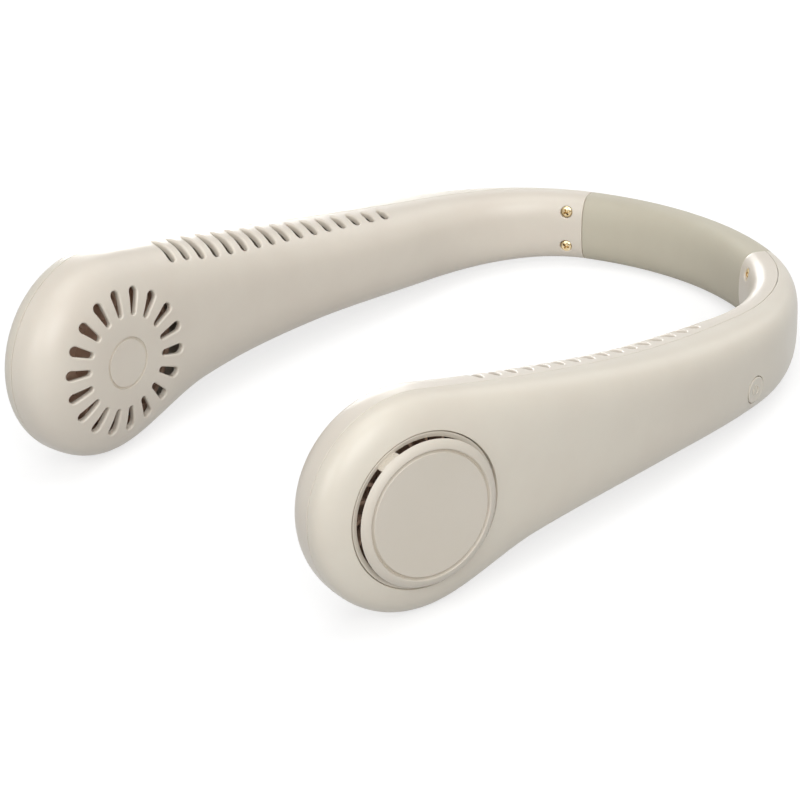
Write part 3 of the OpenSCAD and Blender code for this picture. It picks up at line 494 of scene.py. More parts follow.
finishes = {  # each under the name of its slot in the record
    "outer_shell": finish("creamShellPlastic", (223, 216, 202), (219, 211, 197), 0.30, 0.38,
                          bleed=0.04),
    "inner_shell": finish("creamInnerPlastic", (224, 216, 203), (220, 211, 198), 0.32, 0.40,
                          bleed=0.04),
    "intake_cover": finish("creamCoverPlastic", (214, 206, 193), (211, 203, 189), 0.40, 0.48,
                           bleed=0.04),
    "silicone": finish("bandSilicone", (200, 194, 176), (196, 189, 171), 0.62, 0.72,
                       grain=2200.0, bump=0.12, sheen=0.15, level=0.35, bleed=0.05),
    "brass_screws": finish("brassScrew", (230, 212, 174), (208, 186, 144), 0.14, 0.24,
                           metal=1.0, tone=900.0),
    "steel": finish("zincSteel", (196, 198, 202), (176, 178, 184), 0.26, 0.4, metal=1.0,
                    tone=500.0),
    "spring_steel": finish("springSteel", (180, 182, 186), (160, 162, 168), 0.22, 0.34,
                           metal=1.0, tone=300.0, stretch=(1, 1, 12)),
    "core_steel": finish("laminatedCore", (150, 150, 154), (120, 120, 126), 0.35, 0.55,
                         metal=1.0, tone=700.0),
    "motor_base": finish("dieCastBase", (158, 160, 164), (140, 142, 147), 0.4, 0.6, metal=1.0,
                         bump=0.25, grain=1800.0, tone=250.0),
    "bronze": finish("sinteredBronze", (176, 132, 78), (150, 108, 62), 0.35, 0.55, metal=1.0,
                     bump=0.2),
    "copper_wire": finish("enamelledCopper", (186, 98, 52), (150, 70, 34), 0.2, 0.35, metal=1.0,
                          tone=1500.0, coat=0.6),
    "circuit_board": finish("solderMask", (22, 96, 58), (16, 80, 48), 0.25, 0.4, tone=900.0,
                            coat=0.4),
    "switch_body": finish("switchPlastic", (52, 52, 56), (42, 42, 46), 0.4, 0.55, bump=0.15),
    "usb_shell": finish("nickelShell", (198, 200, 204), (182, 184, 189), 0.18, 0.3, metal=1.0,
                        tone=400.0),
    "magnet": finish("bondedMagnet", (62, 58, 58), (48, 45, 45), 0.55, 0.75, bump=0.3,
                     tone=900.0),
    "impeller": finish("impellerPlastic", (214, 182, 160), (204, 172, 150), 0.38, 0.5,
                       bump=0.1),
    "inner_plastic": finish("ductPlastic", (176, 164, 148), (166, 154, 138), 0.5, 0.62,
                            bump=0.15),
    "battery": finish("cellSleeve", (60, 92, 150), (52, 82, 138), 0.25, 0.36, coat=0.3),
    "foam": finish("openFoam", (96, 82, 72), (78, 66, 58), 0.85, 0.95, grain=1400.0, bump=0.9,
                   tone=1600.0),
    "lead_wire": finish("leadInsulation", (178, 34, 28), (160, 28, 24), 0.4, 0.5, bump=0.1),
}
finishes["button"] = finishes["outer_shell"]
for part in frame["record"]["subparts"]:
    paint(nodes[part["node"]].data, part["material_slot"])
print("neck fan: materials made")

# ---- the arms' shells ----
shellGrid = {"farSteps": 96, "nearSteps": 30, "endSteps": 56, "skinSteps": 22,
             "seamGap": 0.15, "lipH": 1.2, "edgeRound": 0.14}
endRows = [0.0, 0.3, 0.62, 1.0]  # shares of the rounding at the band's end


def stationList():  # (s, inset from the rounded band end)
    e = shellGrid["edgeRound"]
    first, near = backLen + shellGrid["seamGap"], fanS - fanR
    rows = [(first + e * q, e * (1 - sqrt(1 - (1 - q) ** 2))) for q in endRows]
    runs = evenly(first + e, near, shellGrid["farSteps"])[1:]
    runs += evenly(near, fanS, shellGrid["nearSteps"])[1:]
    return rows + [(s, 0.0) for s in runs]


def shellProfile(s, inset, outer):
    o, i, h = sizesAt(s, inset)
    inside = sizesAt(s, wall)
    e, lip, n = shellGrid["edgeRound"], shellGrid["lipH"], shellGrid["skinSteps"]
    face, way = (0, 1) if outer else (180, -1)
    t = seamT(s) if outer else seamT(s) - shellGrid["seamGap"]
    stop = angleOf(t + way * e, o, i)
    rows = [sectionPoint(a, o, i, h) for a in evenly(face, stop, n)]
    top = edgeH(t, o, i, h)
    rows += [(t + way * e * (1 - sin(rad(a))), top - e * (1 - cos(rad(a))))
             for a in (30, 60, 90)]
    step = sizesAt(s, wall / 2 - (0 if outer else shellGrid["seamGap"]))
    rows += [(t, edgeH(t, *step)), (t - lip, edgeH(t - lip, *step))]
    stop = angleOf(t - lip, *inside[:2])
    rows += [sectionPoint(a, *inside) for a in reversed(evenly(face, stop, n))]
    return rows


def shellMesh(outer):  # returns the closed shell and its skin alone, for the skin's normals
    stations = stationList()
    places = [(s, inset, 90.0) for s, inset in stations]
    places += [(fanS, 0.0, turn) for turn in evenly(90.0, -90.0, shellGrid["endSteps"])[1:-1]]
    places += [(s, inset, -90.0) for s, inset in reversed(stations)]
    verts, rowCount, cache = [], 0, {}
    for s, inset, turn in places:
        if (s, inset) not in cache:
            cache[(s, inset)] = shellProfile(s, inset, outer)
        profile = cache[(s, inset)]
        rowCount = len(profile)
        f, z0, c, sn = rad(heading(s)), midZ(s), cos(rad(turn)), sin(rad(turn))
        for t, h in profile:
            q = neckPoint(s, t)
            verts.append((q[0] + h * c * cos(f), q[1] - h * c * sin(f), z0 + h * sn))
    faces, skinFaces = [], []
    for u in range(len(places) - 1):
        for v in range(rowCount - 1):
            a = u * rowCount + v
            faces.append((a, a + rowCount, a + rowCount + 1, a + 1))
            if v < shellGrid["skinSteps"]:
                skinFaces.append(faces[-1])
    # the band's end is closed between the outer and the inner outline of both halves
    last = (len(places) - 1) * rowCount
    for k in range(rowCount // 2):
        a, b = k, rowCount - 1 - k
        ring = (a, a + 1, b - 1, b) if b - a > 2 else (a, a + 1, b)
        if b - a > 1:
            faces += [ring, tuple(last + j for j in reversed(ring))]
    return [faceOut(meshFrom(name, verts, quads), mergeWithin)
            for name, quads in (("shell", faces), ("skin", skinFaces))]


def skinNormals(mesh, skin, reach=0.006):  # the cut shell keeps the smooth skin's own normals
    # both meshes are in mm, in the neck frame
    skin.shade_smooth()
    normals = [v.vector.copy() for v in skin.vertex_normals]
    tri = bmesh.new()
    tri.from_mesh(skin)
    bmesh.ops.triangulate(tri, faces=tri.faces)
    tree = BVHTree.FromBMesh(tri)
    corners = [[v.index for v in f.verts] for f in tri.faces]
    tri.free()
    found = {}
    for v in mesh.vertices:
        place, _, face, _ = tree.find_nearest(v.co, reach)
        if place is None:
            continue
        shares = poly_3d_calc([skin.vertices[k].co for k in corners[face]], place)
        n = sum((normals[k] * share for k, share in zip(corners[face], shares)), Vector())
        if n.length > 0.1:
            found[v.index] = n.normalized()
    return found


def applySkinNormals(mesh, found, angle=32):
    smoothMesh(mesh, angle)
    given = [(0.0, 0.0, 0.0)] * len(mesh.loops)
    for poly in mesh.polygons:
        for loop in poly.loop_indices:
            n = found.get(mesh.loops[loop].vertex_index)
            if n is not None and n.dot(poly.normal) > 0.5:
                given[loop] = tuple(n)
    mesh.normals_split_custom_set(given)
    return mesh


# ---- cutters: openings with rounded lips, pressed onto the skin ----
def liftRings(lip, depth, above=0.8, clear=0.12, bend=(75, 60, 42, 22, 0)):
    # (outward growth of the outline, height over the skin), from the outside in
    over = clear + lip * (1 - sin(rad(bend[0])))
    reachOut = lip * (1 - cos(rad(bend[0]))) + over / tan(rad(90 - bend[0]))
    rings = [(reachOut, above), (reachOut, clear)]
    rings += [(lip * (1 - cos(rad(a))), -lip * (1 - sin(rad(a)))) for a in bend]
    rings.append((0.0, -depth))
    return rings


def ringStack(name, outlines):  # closed outlines of equal length, outermost first
    verts = [p for line in outlines for p in line]
    return faceOut(meshFrom(name, verts, tubeFaces(len(outlines), len(outlines[0]))))


def openingCutter(name, outline, rings):  # outline(growth) at each ring's height over the skin
    return ringStack(name, [[(x, y, h) for x, y in outline(out)] for out, h in rings])


def taperOutline(x1, x2, r1, r2, out, side=7, arc=8):  # two round ends joined by straight sides
    a, b, quarter = r1 + out, r2 + out, pi / 2
    xs, wide = evenly(x2, x1, side)[1:-1], evenly(b, a, side)[1:-1]
    return ([polar(b, q, x2) for q in evenly(-quarter, quarter, arc)] + list(zip(xs, wide))
            + [polar(a, q, x1) for q in evenly(quarter, 3 * quarter, arc)]
            + [(x, -y) for x, y in zip(xs[::-1], wide[::-1])])


def roundOutline(r, count):
    return [polar(r, a) for a in evenly(0.0, tau, count)[:-1]]


def skinAt(s0, x, z, outer):
    # outward place of the skin in the flat frame at s0, x forward along the arm and z up
    R = form["cornerR"] if s0 < cornerS else form["armR"]
    if s0 == fanS and x >= 0:
        n, depth = (form["outerN"], form["outerT"]) if outer else (form["innerN"], form["innerT"])
        d = depth * max(0.0, 1 - min(1.0, hypot(x, z) / fanR) ** n) ** (1 / n)
        return d if outer else -d
    y = outerAt(s0) if outer else -innerAt(s0)
    for _ in range(5):
        turn = atan2(x, R + y)
        y = (R + skinDepth(s0 + R * turn, z, outer)) * cos(turn) - R
    return y


def fromFlat(s0, x, y, z):  # x forward and y outward at s0, as a point of the neck frame
    f, q = rad(heading(s0)), neckPoint(s0)
    return (q[0] + x * cos(f) + y * sin(f),
            q[1] - x * sin(f) + y * cos(f), z)


slopeStep, slopeTurn = 0.05, 0.2  # mm and degrees over which the skin's slope is taken


def pressFlat(mesh, s0, z0, outer):  # template x forward, y up, z out of the skin
    e = slopeStep
    for v in mesh.vertices:
        x, z, up = v.co.x, v.co.y + z0, v.co.z
        y = skinAt(s0, x, z, outer)
        dx = (skinAt(s0, x + e, z, outer) - y) / e
        dz = (skinAt(s0, x, z + e, outer) - y) / e
        n = Vector((-dx, 1.0, -dz)).normalized() * (1 if outer else -1)
        v.co = fromFlat(s0, *(Vector((x, y, z)) + n * up))
    return faceOut(mesh)


grille = {"count": 18, "turnShare": 0.76, "rootR": 13.8, "tipR": 21.8, "rootW": 1.7, "tipW": 3.0,
          "lip": 0.55, "draft": 0.55, "landShare": 0.45, "past": 1.2, "markR": 7.35,
          "markW": 0.8, "markDepth": 0.75, "markSteps": 96}


def grilleCutter():  # radial slots, arranged flat round the fan's axis
    x1, x2 = grille["rootR"] + grille["rootW"] / 2, grille["tipR"] - grille["tipW"] / 2
    # the slots widen inwards, as the mould's draft leaves them
    rings = liftRings(grille["lip"], wall * grille["landShare"])
    rings.append((grille["draft"], -wall - grille["past"]))
    slotMesh = openingCutter("grilleSlot", lambda out: taperOutline(
        x1, x2, grille["rootW"] / 2, grille["tipW"] / 2, out), rings)
    # the solid's frame has Y down, so its turn is taken the other way round here
    start = -tau * grille["turnShare"] / grille["count"]
    mesh = grow("grilleSlots", slotMesh, "ring", {
        "Count": grille["count"], "Start Angle": start, "Material": finishes["inner_shell"]})
    return pressFlat(mesh, fanS, 0.0, False)


def markCutter():  # the fine round groove in the middle of the grille
    w, d = grille["markW"] / 2, grille["markDepth"]
    half = [(-w * 1.7, 0.5), (-w * 1.7, 0.04), (-w, -0.05), (-w * 0.8, -d * 0.7)]
    line = half + [(0, -d)] + [(-x, h) for x, h in reversed(half)]
    steps = grille["markSteps"]
    verts = [(*polar(grille["markR"] + out, a), h)
             for a in evenly(0.0, tau, steps)[:-1] for out, h in line]
    ring = meshFrom("markRing", verts, tubeFaces(steps, len(line), True))
    return pressFlat(faceOut(ring, mergeWithin), fanS, 0.0, False)


outlets = {"count": 16, "start": 24.2, "pitch": 5.55, "width": 2.4, "clear": 2.6,
           "reach": [0.7, 0.76, 0.73, 0.62], "knots": [0, 0.2, 0.45, 1], "lip": 0.75,
           "taperShare": 0.45, "shortest": 0.4, "dip": 66.0, "depth": 3.4, "stages": (0.4, 1.0),
           "lift": 4.0, "flatLength": 10.0}


def outletSpan(s):  # depths t of the slot's upper and lower end
    span = outlets["pitch"] * (outlets["count"] - 1)
    knots = [outlets["start"] + q * span for q in outlets["knots"]]
    low = innerAt(s) * smoothAt(fanS - s, knots, outlets["reach"], 0.0)
    return seamT(s) - outlets["clear"], -low


def arcTable(s, t1, t2, steps=60, spare=12):  # the skin between two depths, by its own length
    o, i, h = sizesAt(s)
    a1, a2 = angleOf(t1, o, i), angleOf(t2, o, i)
    angles = [a1 + (a2 - a1) * k / steps for k in range(-spare, steps + spare + 1)]
    line = [sectionPoint(a, o, i, h) for a in angles]
    lengths = [0.0]
    for (ta, ha), (tb, hb) in zip(line, line[1:]):
        lengths.append(lengths[-1] + hypot(tb - ta, hb - ha))
    base = lengths[spare]
    return np.array(lengths) - base, np.array(angles), lengths[spare + steps] - base


def outletOutline(total, out, arc=9, side=7):  # (forward, along the skin from the upper tip)
    r = outlets["width"] / 2
    taper = min(outlets["taperShare"] * total, total - r - outlets["shortest"])
    wide, turns = r + out, evenly(0.0, pi, arc)
    sides = evenly(total - r, taper, side)[1:-1]
    return ([polar(wide, q, 0.0, total - r) for q in turns] + [(-wide, w) for w in sides]
            + [(-wide * cos(q), taper - (taper + out) * sin(q)) for q in turns]
            + [(wide, w) for w in sides[::-1]])


def outletLines(s0):  # one slot's outlines on the skin, from above it to inside the wall
    rings = liftRings(outlets["lip"], 0.0)[:-1]
    lengths, angles, total = arcTable(s0, *outletSpan(s0))
    lines = [[skinPlace(s0 + x, float(np.interp(w, lengths, angles)), h)
              for x, w in outletOutline(total, out)] for out, h in rings]
    f, dip = rad(heading(s0)), rad(outlets["dip"])
    # each slot goes straight through the wall, so its side walls close the view at its upper end
    way = Vector((sin(f) * cos(dip), cos(f) * cos(dip), -sin(dip)))
    # the cutter's top is lifted clear, because the skin bulges between the slot's ends
    lines[0] = [p - way * outlets["lift"] for p in lines[1]]
    base = lines[-1]
    return lines + [[p + way * (outlets["depth"] * share) for p in base]
                    for share in outlets["stages"]]


def outletCutter():  # a straight row of flat slots, each one then laid on the skin at its place
    heights = [h for out, h in liftRings(outlets["lip"], 0.0)[:-1]]
    heights += [-outlets["depth"] * share for share in outlets["stages"]]
    flat = outletOutline(outlets["flatLength"], 0.0)
    slotMesh = ringStack("outletSlot", [[(x, y, h) for x, y in flat] for h in heights])
    row = grow("outletSlots", slotMesh, "row", {
        "Count": outlets["count"], "Step": (-outlets["pitch"], 0.0, 0.0),
        "Material": finishes["inner_shell"]})
    size = len(slotMesh.vertices)
    for k in range(outlets["count"]):
        s0 = fanS - outlets["start"] - k * outlets["pitch"]
        for j, place in enumerate(p for line in outletLines(s0) for p in line):
            row.vertices[k * size + j].co = place
    return faceOut(row)


def skinPlace(s, a, up):  # a point over the arm's upper skin, from s and the section's angle
    def at(s1, a1):
        t, h = sectionPoint(a1, *sizesAt(s1))
        q = neckPoint(s1, t)
        return Vector((q[0], q[1], midZ(s1) + h))
    p = at(s, a)
    ds, da = at(s + slopeStep, a) - p, at(s, a + slopeTurn) - p
    n = ds.cross(da).normalized()
    if n.z < 0:
        n = -n
    return p + n * up


def roundCutter(name, r, lip, depth, count=64):
    return openingCutter(name, lambda out: roundOutline(r + out, count), liftRings(lip, depth))


# ---- controls on the left arm ----
controls = {"buttonS": cornerS + 4.3, "buttonZ": 0.3, "buttonR": 3.8, "buttonGap": 0.24,
            "buttonLip": 0.16, "inletBack": 5.0, "inletW": 8.9, "inletT": 3.2, "inletOut": 0.638,
            "inletLip": 0.25, "inletGap": 0.1}


def inletCutter():  # from below, so it follows the arm's lower edge
    s0 = controls["buttonS"]
    r = controls["inletT"] / 2 + controls["inletGap"]
    half = controls["inletW"] / 2 + controls["inletGap"] - r
    mesh = openingCutter("inletHole", lambda out: taperOutline(-half, half, r, r, out),
                         liftRings(controls["inletLip"], 2 * wall))
    for v in mesh.vertices:
        x, y = v.co.x - controls["inletBack"], v.co.y + controls["inletOut"]
        turn = atan2(x, form["armR"] + y)
        s = s0 + form["armR"] * turn
        t = hypot(x, form["armR"] + y) - form["armR"]
        z = midZ(s) - edgeH(t, *sizesAt(s)) - v.co.z
        v.co = fromFlat(s0, x, y, z)
    return faceOut(mesh)


bandScrews = {"in": 5.8, "z": 5.5, "holeGap": 0.12, "holeLip": 0.3, "headR": 1.75, "headT": 1.1,
              "sunk": 0.5, "domeT": 0.42, "shankR": 1.0, "length": 7.5, "recessR": 1.05,
              "recessT": 0.8, "recessW": 0.27, "turns": (25, 62)}


def shellPieces():
    made = {}
    outerMesh, outerSkin = shellMesh(True)
    innerMesh, innerSkin = shellMesh(False)
    print("neck fan: shells lofted,", len(outerMesh.polygons) + len(innerMesh.polygons), "faces")
    screwS = backLen + bandScrews["in"]
    openings = joinMeshes("innerCutters", [grilleCutter(), outletCutter(), markCutter()] + [
        pressFlat(roundCutter("screwHole", bandScrews["headR"] + bandScrews["holeGap"],
                              bandScrews["holeLip"], bandScrews["sunk"] + bandScrews["headT"], 40),
                  screwS, form["bandRise"] + z, False)
        for z in (-bandScrews["z"], bandScrews["z"])])
    inner = cutWith(innerMesh, openings, "innerCut")
    mouth = pressFlat(roundCutter("coverMouth", cover["ringR"] + cover["ringGap"],
                                  cover["mouthLip"], 2 * wall, 128), fanS, 0.0, True)
    outer = cutWith(outerMesh, mouth, "outerCut")
    button = pressFlat(roundCutter("buttonHole", controls["buttonR"] + controls["buttonGap"],
                                   controls["buttonLip"], 2 * wall),
                       controls["buttonS"], controls["buttonZ"], True)
    holes = joinMeshes("controlCutters", [button, inletCutter()])
    leftOuter = cutWith(outer.copy(), holes, "leftCut")
    print("neck fan: openings cut")
    for label, mesh, skin, side in (
            ("left_outer_shell", leftOuter, outerSkin, 1),
            ("right_outer_shell", outer, outerSkin, -1),
            ("left_inner_shell", inner, innerSkin, 1),
            ("right_inner_shell", inner, innerSkin, -1)):
        done = mesh.copy()
        found = skinNormals(done, skin)
        if side < 0:
            done.flip_normals()
        done.transform(Matrix.Diagonal((side, 1, 1, 1)))
        found = {k: Vector((side * n.x, n.y, n.z)) for k, n in found.items()}
        made[label] = applySkinNormals(done, found)
        turn = restMatrix(1)
        kept = [Vector(c.vector) for c in done.corner_normals]
        done.transform(turn)
        spin = turn.to_3x3().normalized()
        done.normals_split_custom_set([tuple((spin @ n).normalized()) for n in kept])
        paint(done, "outer_shell" if "outer" in label else "inner_shell")
    return made


# ---- intake covers ----
cover = {"ringR": 21.1, "ringGap": 0.3, "mouthLip": 0.2, "ringW": 1.5, "ringThick": 1.4,
         "ringFall": 0.5, "ringSunk": 0.1, "ringRound": 0.16, "discR": 20.0, "faceT": 12.7,
         "edgeUp": 2.0, "shoulderW": 2.15, "shoulderTurn": (46.0, 10.0), "shoulderRows": 14,
         "grooveR": 17.15, "grooveW": 1.0, "grooveDepth": 1.0, "skirtR": 16.5, "bridges": 3,
         "bridgeTurn": 64.0, "bridgeHalf": 8.8, "bridgeRows": 14, "steps": 160}


def coverMesh():
    ringZ = skinAt(fanS, cover["ringR"], 0.0, True) - cover["ringSunk"]
    r1, r2 = cover["ringR"] - cover["ringW"], cover["ringR"]
    low, fall, e = ringZ - cover["ringThick"], cover["ringFall"], cover["ringRound"]
    mat = finishes["intake_cover"]

    def corner(r, z, a0, n=3):
        return [polar(e, rad(a), r, z) for a in evenly(a0, a0 + 90, n)]

    ring = [(r1, low), (r2, low)] + corner(r2 - e, ringZ - e, 0)
    ring += corner(r1 + e, ringZ - fall - e, 90) + [(r1, low)]
    discR, skirt, face = cover["discR"], cover["skirtR"], cover["faceT"]
    edgeZ = ringZ + cover["edgeUp"]
    # from the axis: under the face, down and up the skirt's walls, then out under the edge
    disc = [(0.0, face - 1.5), (skirt - 1.4, face - 1.6), (skirt - 0.6, face - 2.2),
            (skirt - 0.5, low), (skirt + 0.8, low), (skirt + 0.9, edgeZ - 1.6),
            (discR - 0.7, edgeZ - 0.6), (discR - 0.16, edgeZ - 0.14), (discR - 0.02, edgeZ - 0.05),
            (discR, edgeZ + 0.02)]
    # the shoulder is an arc, from a steep edge to nearly level beside the groove
    steep, flat = (rad(q) for q in cover["shoulderTurn"])
    wide, tall = sin(steep) - sin(flat), cos(flat) - cos(steep)
    for a in evenly(steep, flat, cover["shoulderRows"])[1:]:
        disc.append((discR - cover["shoulderW"] * (sin(steep) - sin(a)) / wide,
                     edgeZ + (face - edgeZ) * (cos(a) - cos(steep)) / tall))
    # the groove, V-shaped with soft lips, and then the flat face
    grooveR, gw, gd = cover["grooveR"], cover["grooveW"] / 2, cover["grooveDepth"]
    disc.append((grooveR + gw + 0.02, face - 0.01))
    disc += [(grooveR + gw * across, face - gd * down)
             for across, down in ((0.8, 0.14), (0.3, 0.86), (0, 1), (-0.3, 0.86), (-0.8, 0.14))]
    disc += [(grooveR - gw - 0.02, face), (grooveR - gw - 0.4, face + 0.01)]
    disc += [(grooveR * q, face + 0.02) for q in (0.8, 0.6, 0.4, 0.2, 0.0)]
    parts = [turnProfile("coverRing", ring, mat, cover["steps"]),
             turnProfile("coverDisc", disc, mat, cover["steps"])]
    # one bridge: its top runs from the ring to the disc's edge, sunk a little into both
    half, n, lines = cover["bridgeHalf"], cover["bridgeRows"], []
    for k, a in enumerate(evenly(-half, half, n)):
        soft = min(k, n - k) / n * 2 * half
        drop = 0.10 if soft < 0.1 else 0.03 if soft < 1.4 else 0.0
        lines.append([(*polar(r, rad(a)), z) for r, z in (
            (r1 + 0.6, ringZ - 0.9), (r1 + 0.45, ringZ - fall * 0.75 - drop),
            (r1 - 0.02, ringZ - fall * 0.6 - drop), (discR + 0.02, edgeZ - 0.2 - drop),
            (discR - 0.2, edgeZ + 0.02 - drop), (discR - 0.6, edgeZ - 0.3),
            (skirt + 0.4, low + 0.1), (r1 + 0.5, low + 0.1))])
    parts.append(grow("coverBridges", ringStack("coverBridge", lines), "ring", {
        "Count": cover["bridges"], "Start Angle": rad(-cover["bridgeTurn"]), "Material": mat}))
    return joinMeshes("intakeCover", parts)


def stationMatrix(s, side=1):  # X forward, Y up, Z outward at a place on the neck line
    f, q = rad(heading(s)), neckPoint(s)
    return restMatrix(side) @ Matrix(((cos(f), 0, sin(f), q[0]),
                                      (-sin(f), 0, cos(f), q[1]),
                                      (0, 1, 0, 0), (0, 0, 0, 1)))


# ---- band: sleeve, spring strip and wires, each made in two pieces that meet at the split ----
band = {"splitX": 20.0, "flexFrom": -33.5, "flexTo": 20.0, "twistTo": 34.0, "steps": 40,
        "edgeRound": 0.35, "fit": 0.3, "skinSteps": 28, "tongue": 11.0, "tongueOut": 0.6,
        "tongueFit": 0.32, "tongueRoot": 1.5, "tongueSteps": 12, "coreSteps": 60, "stripT": 0.6,
        "stripH": 7.0, "stripAt": -1.1, "wireR": 0.55, "wireAt": -2.7, "wirePitch": 1.6,
        "wireShort": 10.0}


def sweep(name, places, sections):  # sections are closed (t, z) lines
    lines = []
    for (s, side), section in zip(places, sections):
        across = [neckPoint(s, t) for t, _ in section]
        lines.append([(side * q[0], q[1], z) for q, (_, z) in zip(across, section)])
    return ringStack(name, lines)


def bandOutline(inset=0.0, stopT=None, n=None):
    n = n or band["skinSteps"]
    o, h = bandHalfT - inset, bandHalfH - inset
    first = 0.0 if stopT is None else angleOf(stopT, o, o)
    half = [sectionPoint(a, o, o, h) for a in evenly(first, 180, n)]
    line = half + [(t, -z) for t, z in half[-2:0 if stopT is None else None:-1]]
    return [(t, form["bandRise"] + z) for t, z in line]


def runFromSplit(side, end, steps):  # signed s, counted towards the side's arm
    split = form["backR"] * asin(band["splitX"] / form["backR"])
    return evenly(split if side > 0 else -split, end, steps)


def signedPlace(s, side):
    return abs(s), side if s >= 0 else -side


def sleeveHalf(side):
    # from the split to the arm, with a rounded end and the tongue that the arm clamps
    edge, e = backLen, band["edgeRound"]
    places = [(s, bandOutline()) for s in runFromSplit(side, edge - e, band["steps"])]
    for q in endRows[1:]:
        cut = e * (1 - sqrt(max(0.0, 1 - q**2)))
        places.append((edge - e + e * q, bandOutline(cut)))
    places.append((edge, bandOutline(wall + band["fit"])))
    meshes = [sweep("sleeveBody", [signedPlace(s, side) for s, _ in places],
                    [line for _, line in places])]
    tongue = evenly(edge - band["tongueRoot"], edge + band["tongue"], band["tongueSteps"])
    line = bandOutline(wall + band["tongueFit"], band["tongueOut"], 20)
    meshes.append(sweep("sleeveTongue", [(s, side) for s in tongue], [line] * len(tongue)))
    return meshes


def boxLine(t, z, w, h, r=0.12):
    points = []
    for cx, cz, a0 in ((t + w / 2 - r, z + h / 2 - r, 0), (t - w / 2 + r, z + h / 2 - r, 90),
                       (t - w / 2 + r, z - h / 2 + r, 180), (t + w / 2 - r, z - h / 2 + r, 270)):
        points += [polar(r, rad(a0 + d), cx, cz) for d in (0, 45, 90)]
    return points


def coreRun(name, side, line, endS):  # the strip or a wire, from the split into the arm
    runs = runFromSplit(side, endS, band["coreSteps"])
    return sweep(name, [signedPlace(s, side) for s in runs], [line] * len(runs))


def addBand():
    rise = form["bandRise"]
    wires = [[(band["wireAt"] + t, rise + k * band["wirePitch"] + z)
              for t, z in roundOutline(band["wireR"], 12)] for k in (-1, 0, 1)]
    strip = boxLine(band["stripAt"], rise, band["stripT"], band["stripH"])
    for side, tag in bothSides:
        kinds = [("bandSleeve", "band_sleeve", "silicone", sleeveHalf(side)),
                 ("bandStrip", "band_spring_strip", "spring_steel",
                  [coreRun("strip", side, strip, backLen + band["tongue"])]),
                 ("bandWires", "band_wires", "lead_wire",
                  [coreRun("wire", side, line, cornerS - band["wireShort"]) for line in wires])]
        for label, node, slotName, meshes in kinds:
            mesh = joinMeshes(label, meshes)
            mesh.transform(restMatrix(1))
            paint(smoothMesh(mesh, 40), slotName)
            obj = addObject(tag + label[0].upper() + label[1:], mesh)
            if side < 0:
                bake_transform(obj)
            else:
                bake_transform(obj)
            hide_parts(node)


# ---- brass screws beside the band ----
def screwMesh():  # head with a cross recess, at the middle of its seat, Z out of the skin
    r, top, end = bandScrews["headR"], -bandScrews["sunk"], -bandScrews["length"]
    shank = bandScrews["shankR"]
    profile = [(0.0, end), (shank - 0.25, end), (shank - 0.05, end + 0.3), (shank, end + 0.5),
               (shank, top - bandScrews["headT"]), (r - 0.12, top - 0.32), (r, top - 0.2),
               (r, top - 0.1), (r - 0.06, top - 0.04)]
    profile += [(r * q, top + bandScrews["domeT"] * (1 - q * q))
                for q in (0.86, 0.66, 0.45, 0.2, 0.0)]
    body = turnProfile("screwBody", profile, finishes["brass_screws"], 40)
    w, arm = bandScrews["recessW"], bandScrews["recessR"]
    square = ((-1, -1), (1, -1), (1, 1), (-1, 1))
    sizes = ((arm + 0.15, w + 0.05, top + 0.6), (arm * 0.55, w * 0.7, top - bandScrews["recessT"]))
    for a in (0, 90):
        cut = ringStack("recess", [[(x * long, y * wide, z) for x, y in square]
                                   for long, wide, z in sizes])
        cut.transform(Matrix.Rotation(rad(a), 4, "Z"))
        body = cutWith(body, cut, "screw")
    return body


def addScrews():
    s0 = backLen + bandScrews["in"]
    screw = screwMesh()
    for side, tag in bothSides:
        pair = []
        for z, turn in zip((-bandScrews["z"], bandScrews["z"]), bandScrews["turns"]):
            y = skinAt(s0, 0.0, form["bandRise"] + z, False)
            place = stationMatrix(s0, side) @ Matrix.Translation((0, form["bandRise"] + z, y))
            place = place @ Matrix.Diagonal((1, 1, -1, 1)) @ Matrix.Rotation(rad(turn), 4, "Z")
            pair.append(turned(screw, place))
        mesh = smoothMesh(joinMeshes("brassScrews", pair), 30)
        paint(mesh, "brass_screws")
        obj = addObject(tag + "BrassScrews", mesh)
        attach(obj, tag + "_arm")
        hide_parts(tag + "_band_screws")


# ---- power button ----
buttonCap = {"proud": 0.15, "rimW": 0.75, "dish": 0.12, "stemR": 1.2, "stemZ": 4.94,
             "flangeW": 0.9, "flangeZ": (5.2, 5.85), "faceFrom": 7.6, "markR": 1.3, "markW": 0.36,
             "markUp": 0.2, "markOpen": 42.0, "markRows": 40, "barFrom": 0.35, "barRows": 6,
             "turn": -20.0}


def raisedBar(name, places, section):  # a bar of one section along (x, y, its side's angle)
    return ringStack(name, [[(*polar(out, a, x, y), z) for out, z in section]
                            for x, y, a in places])


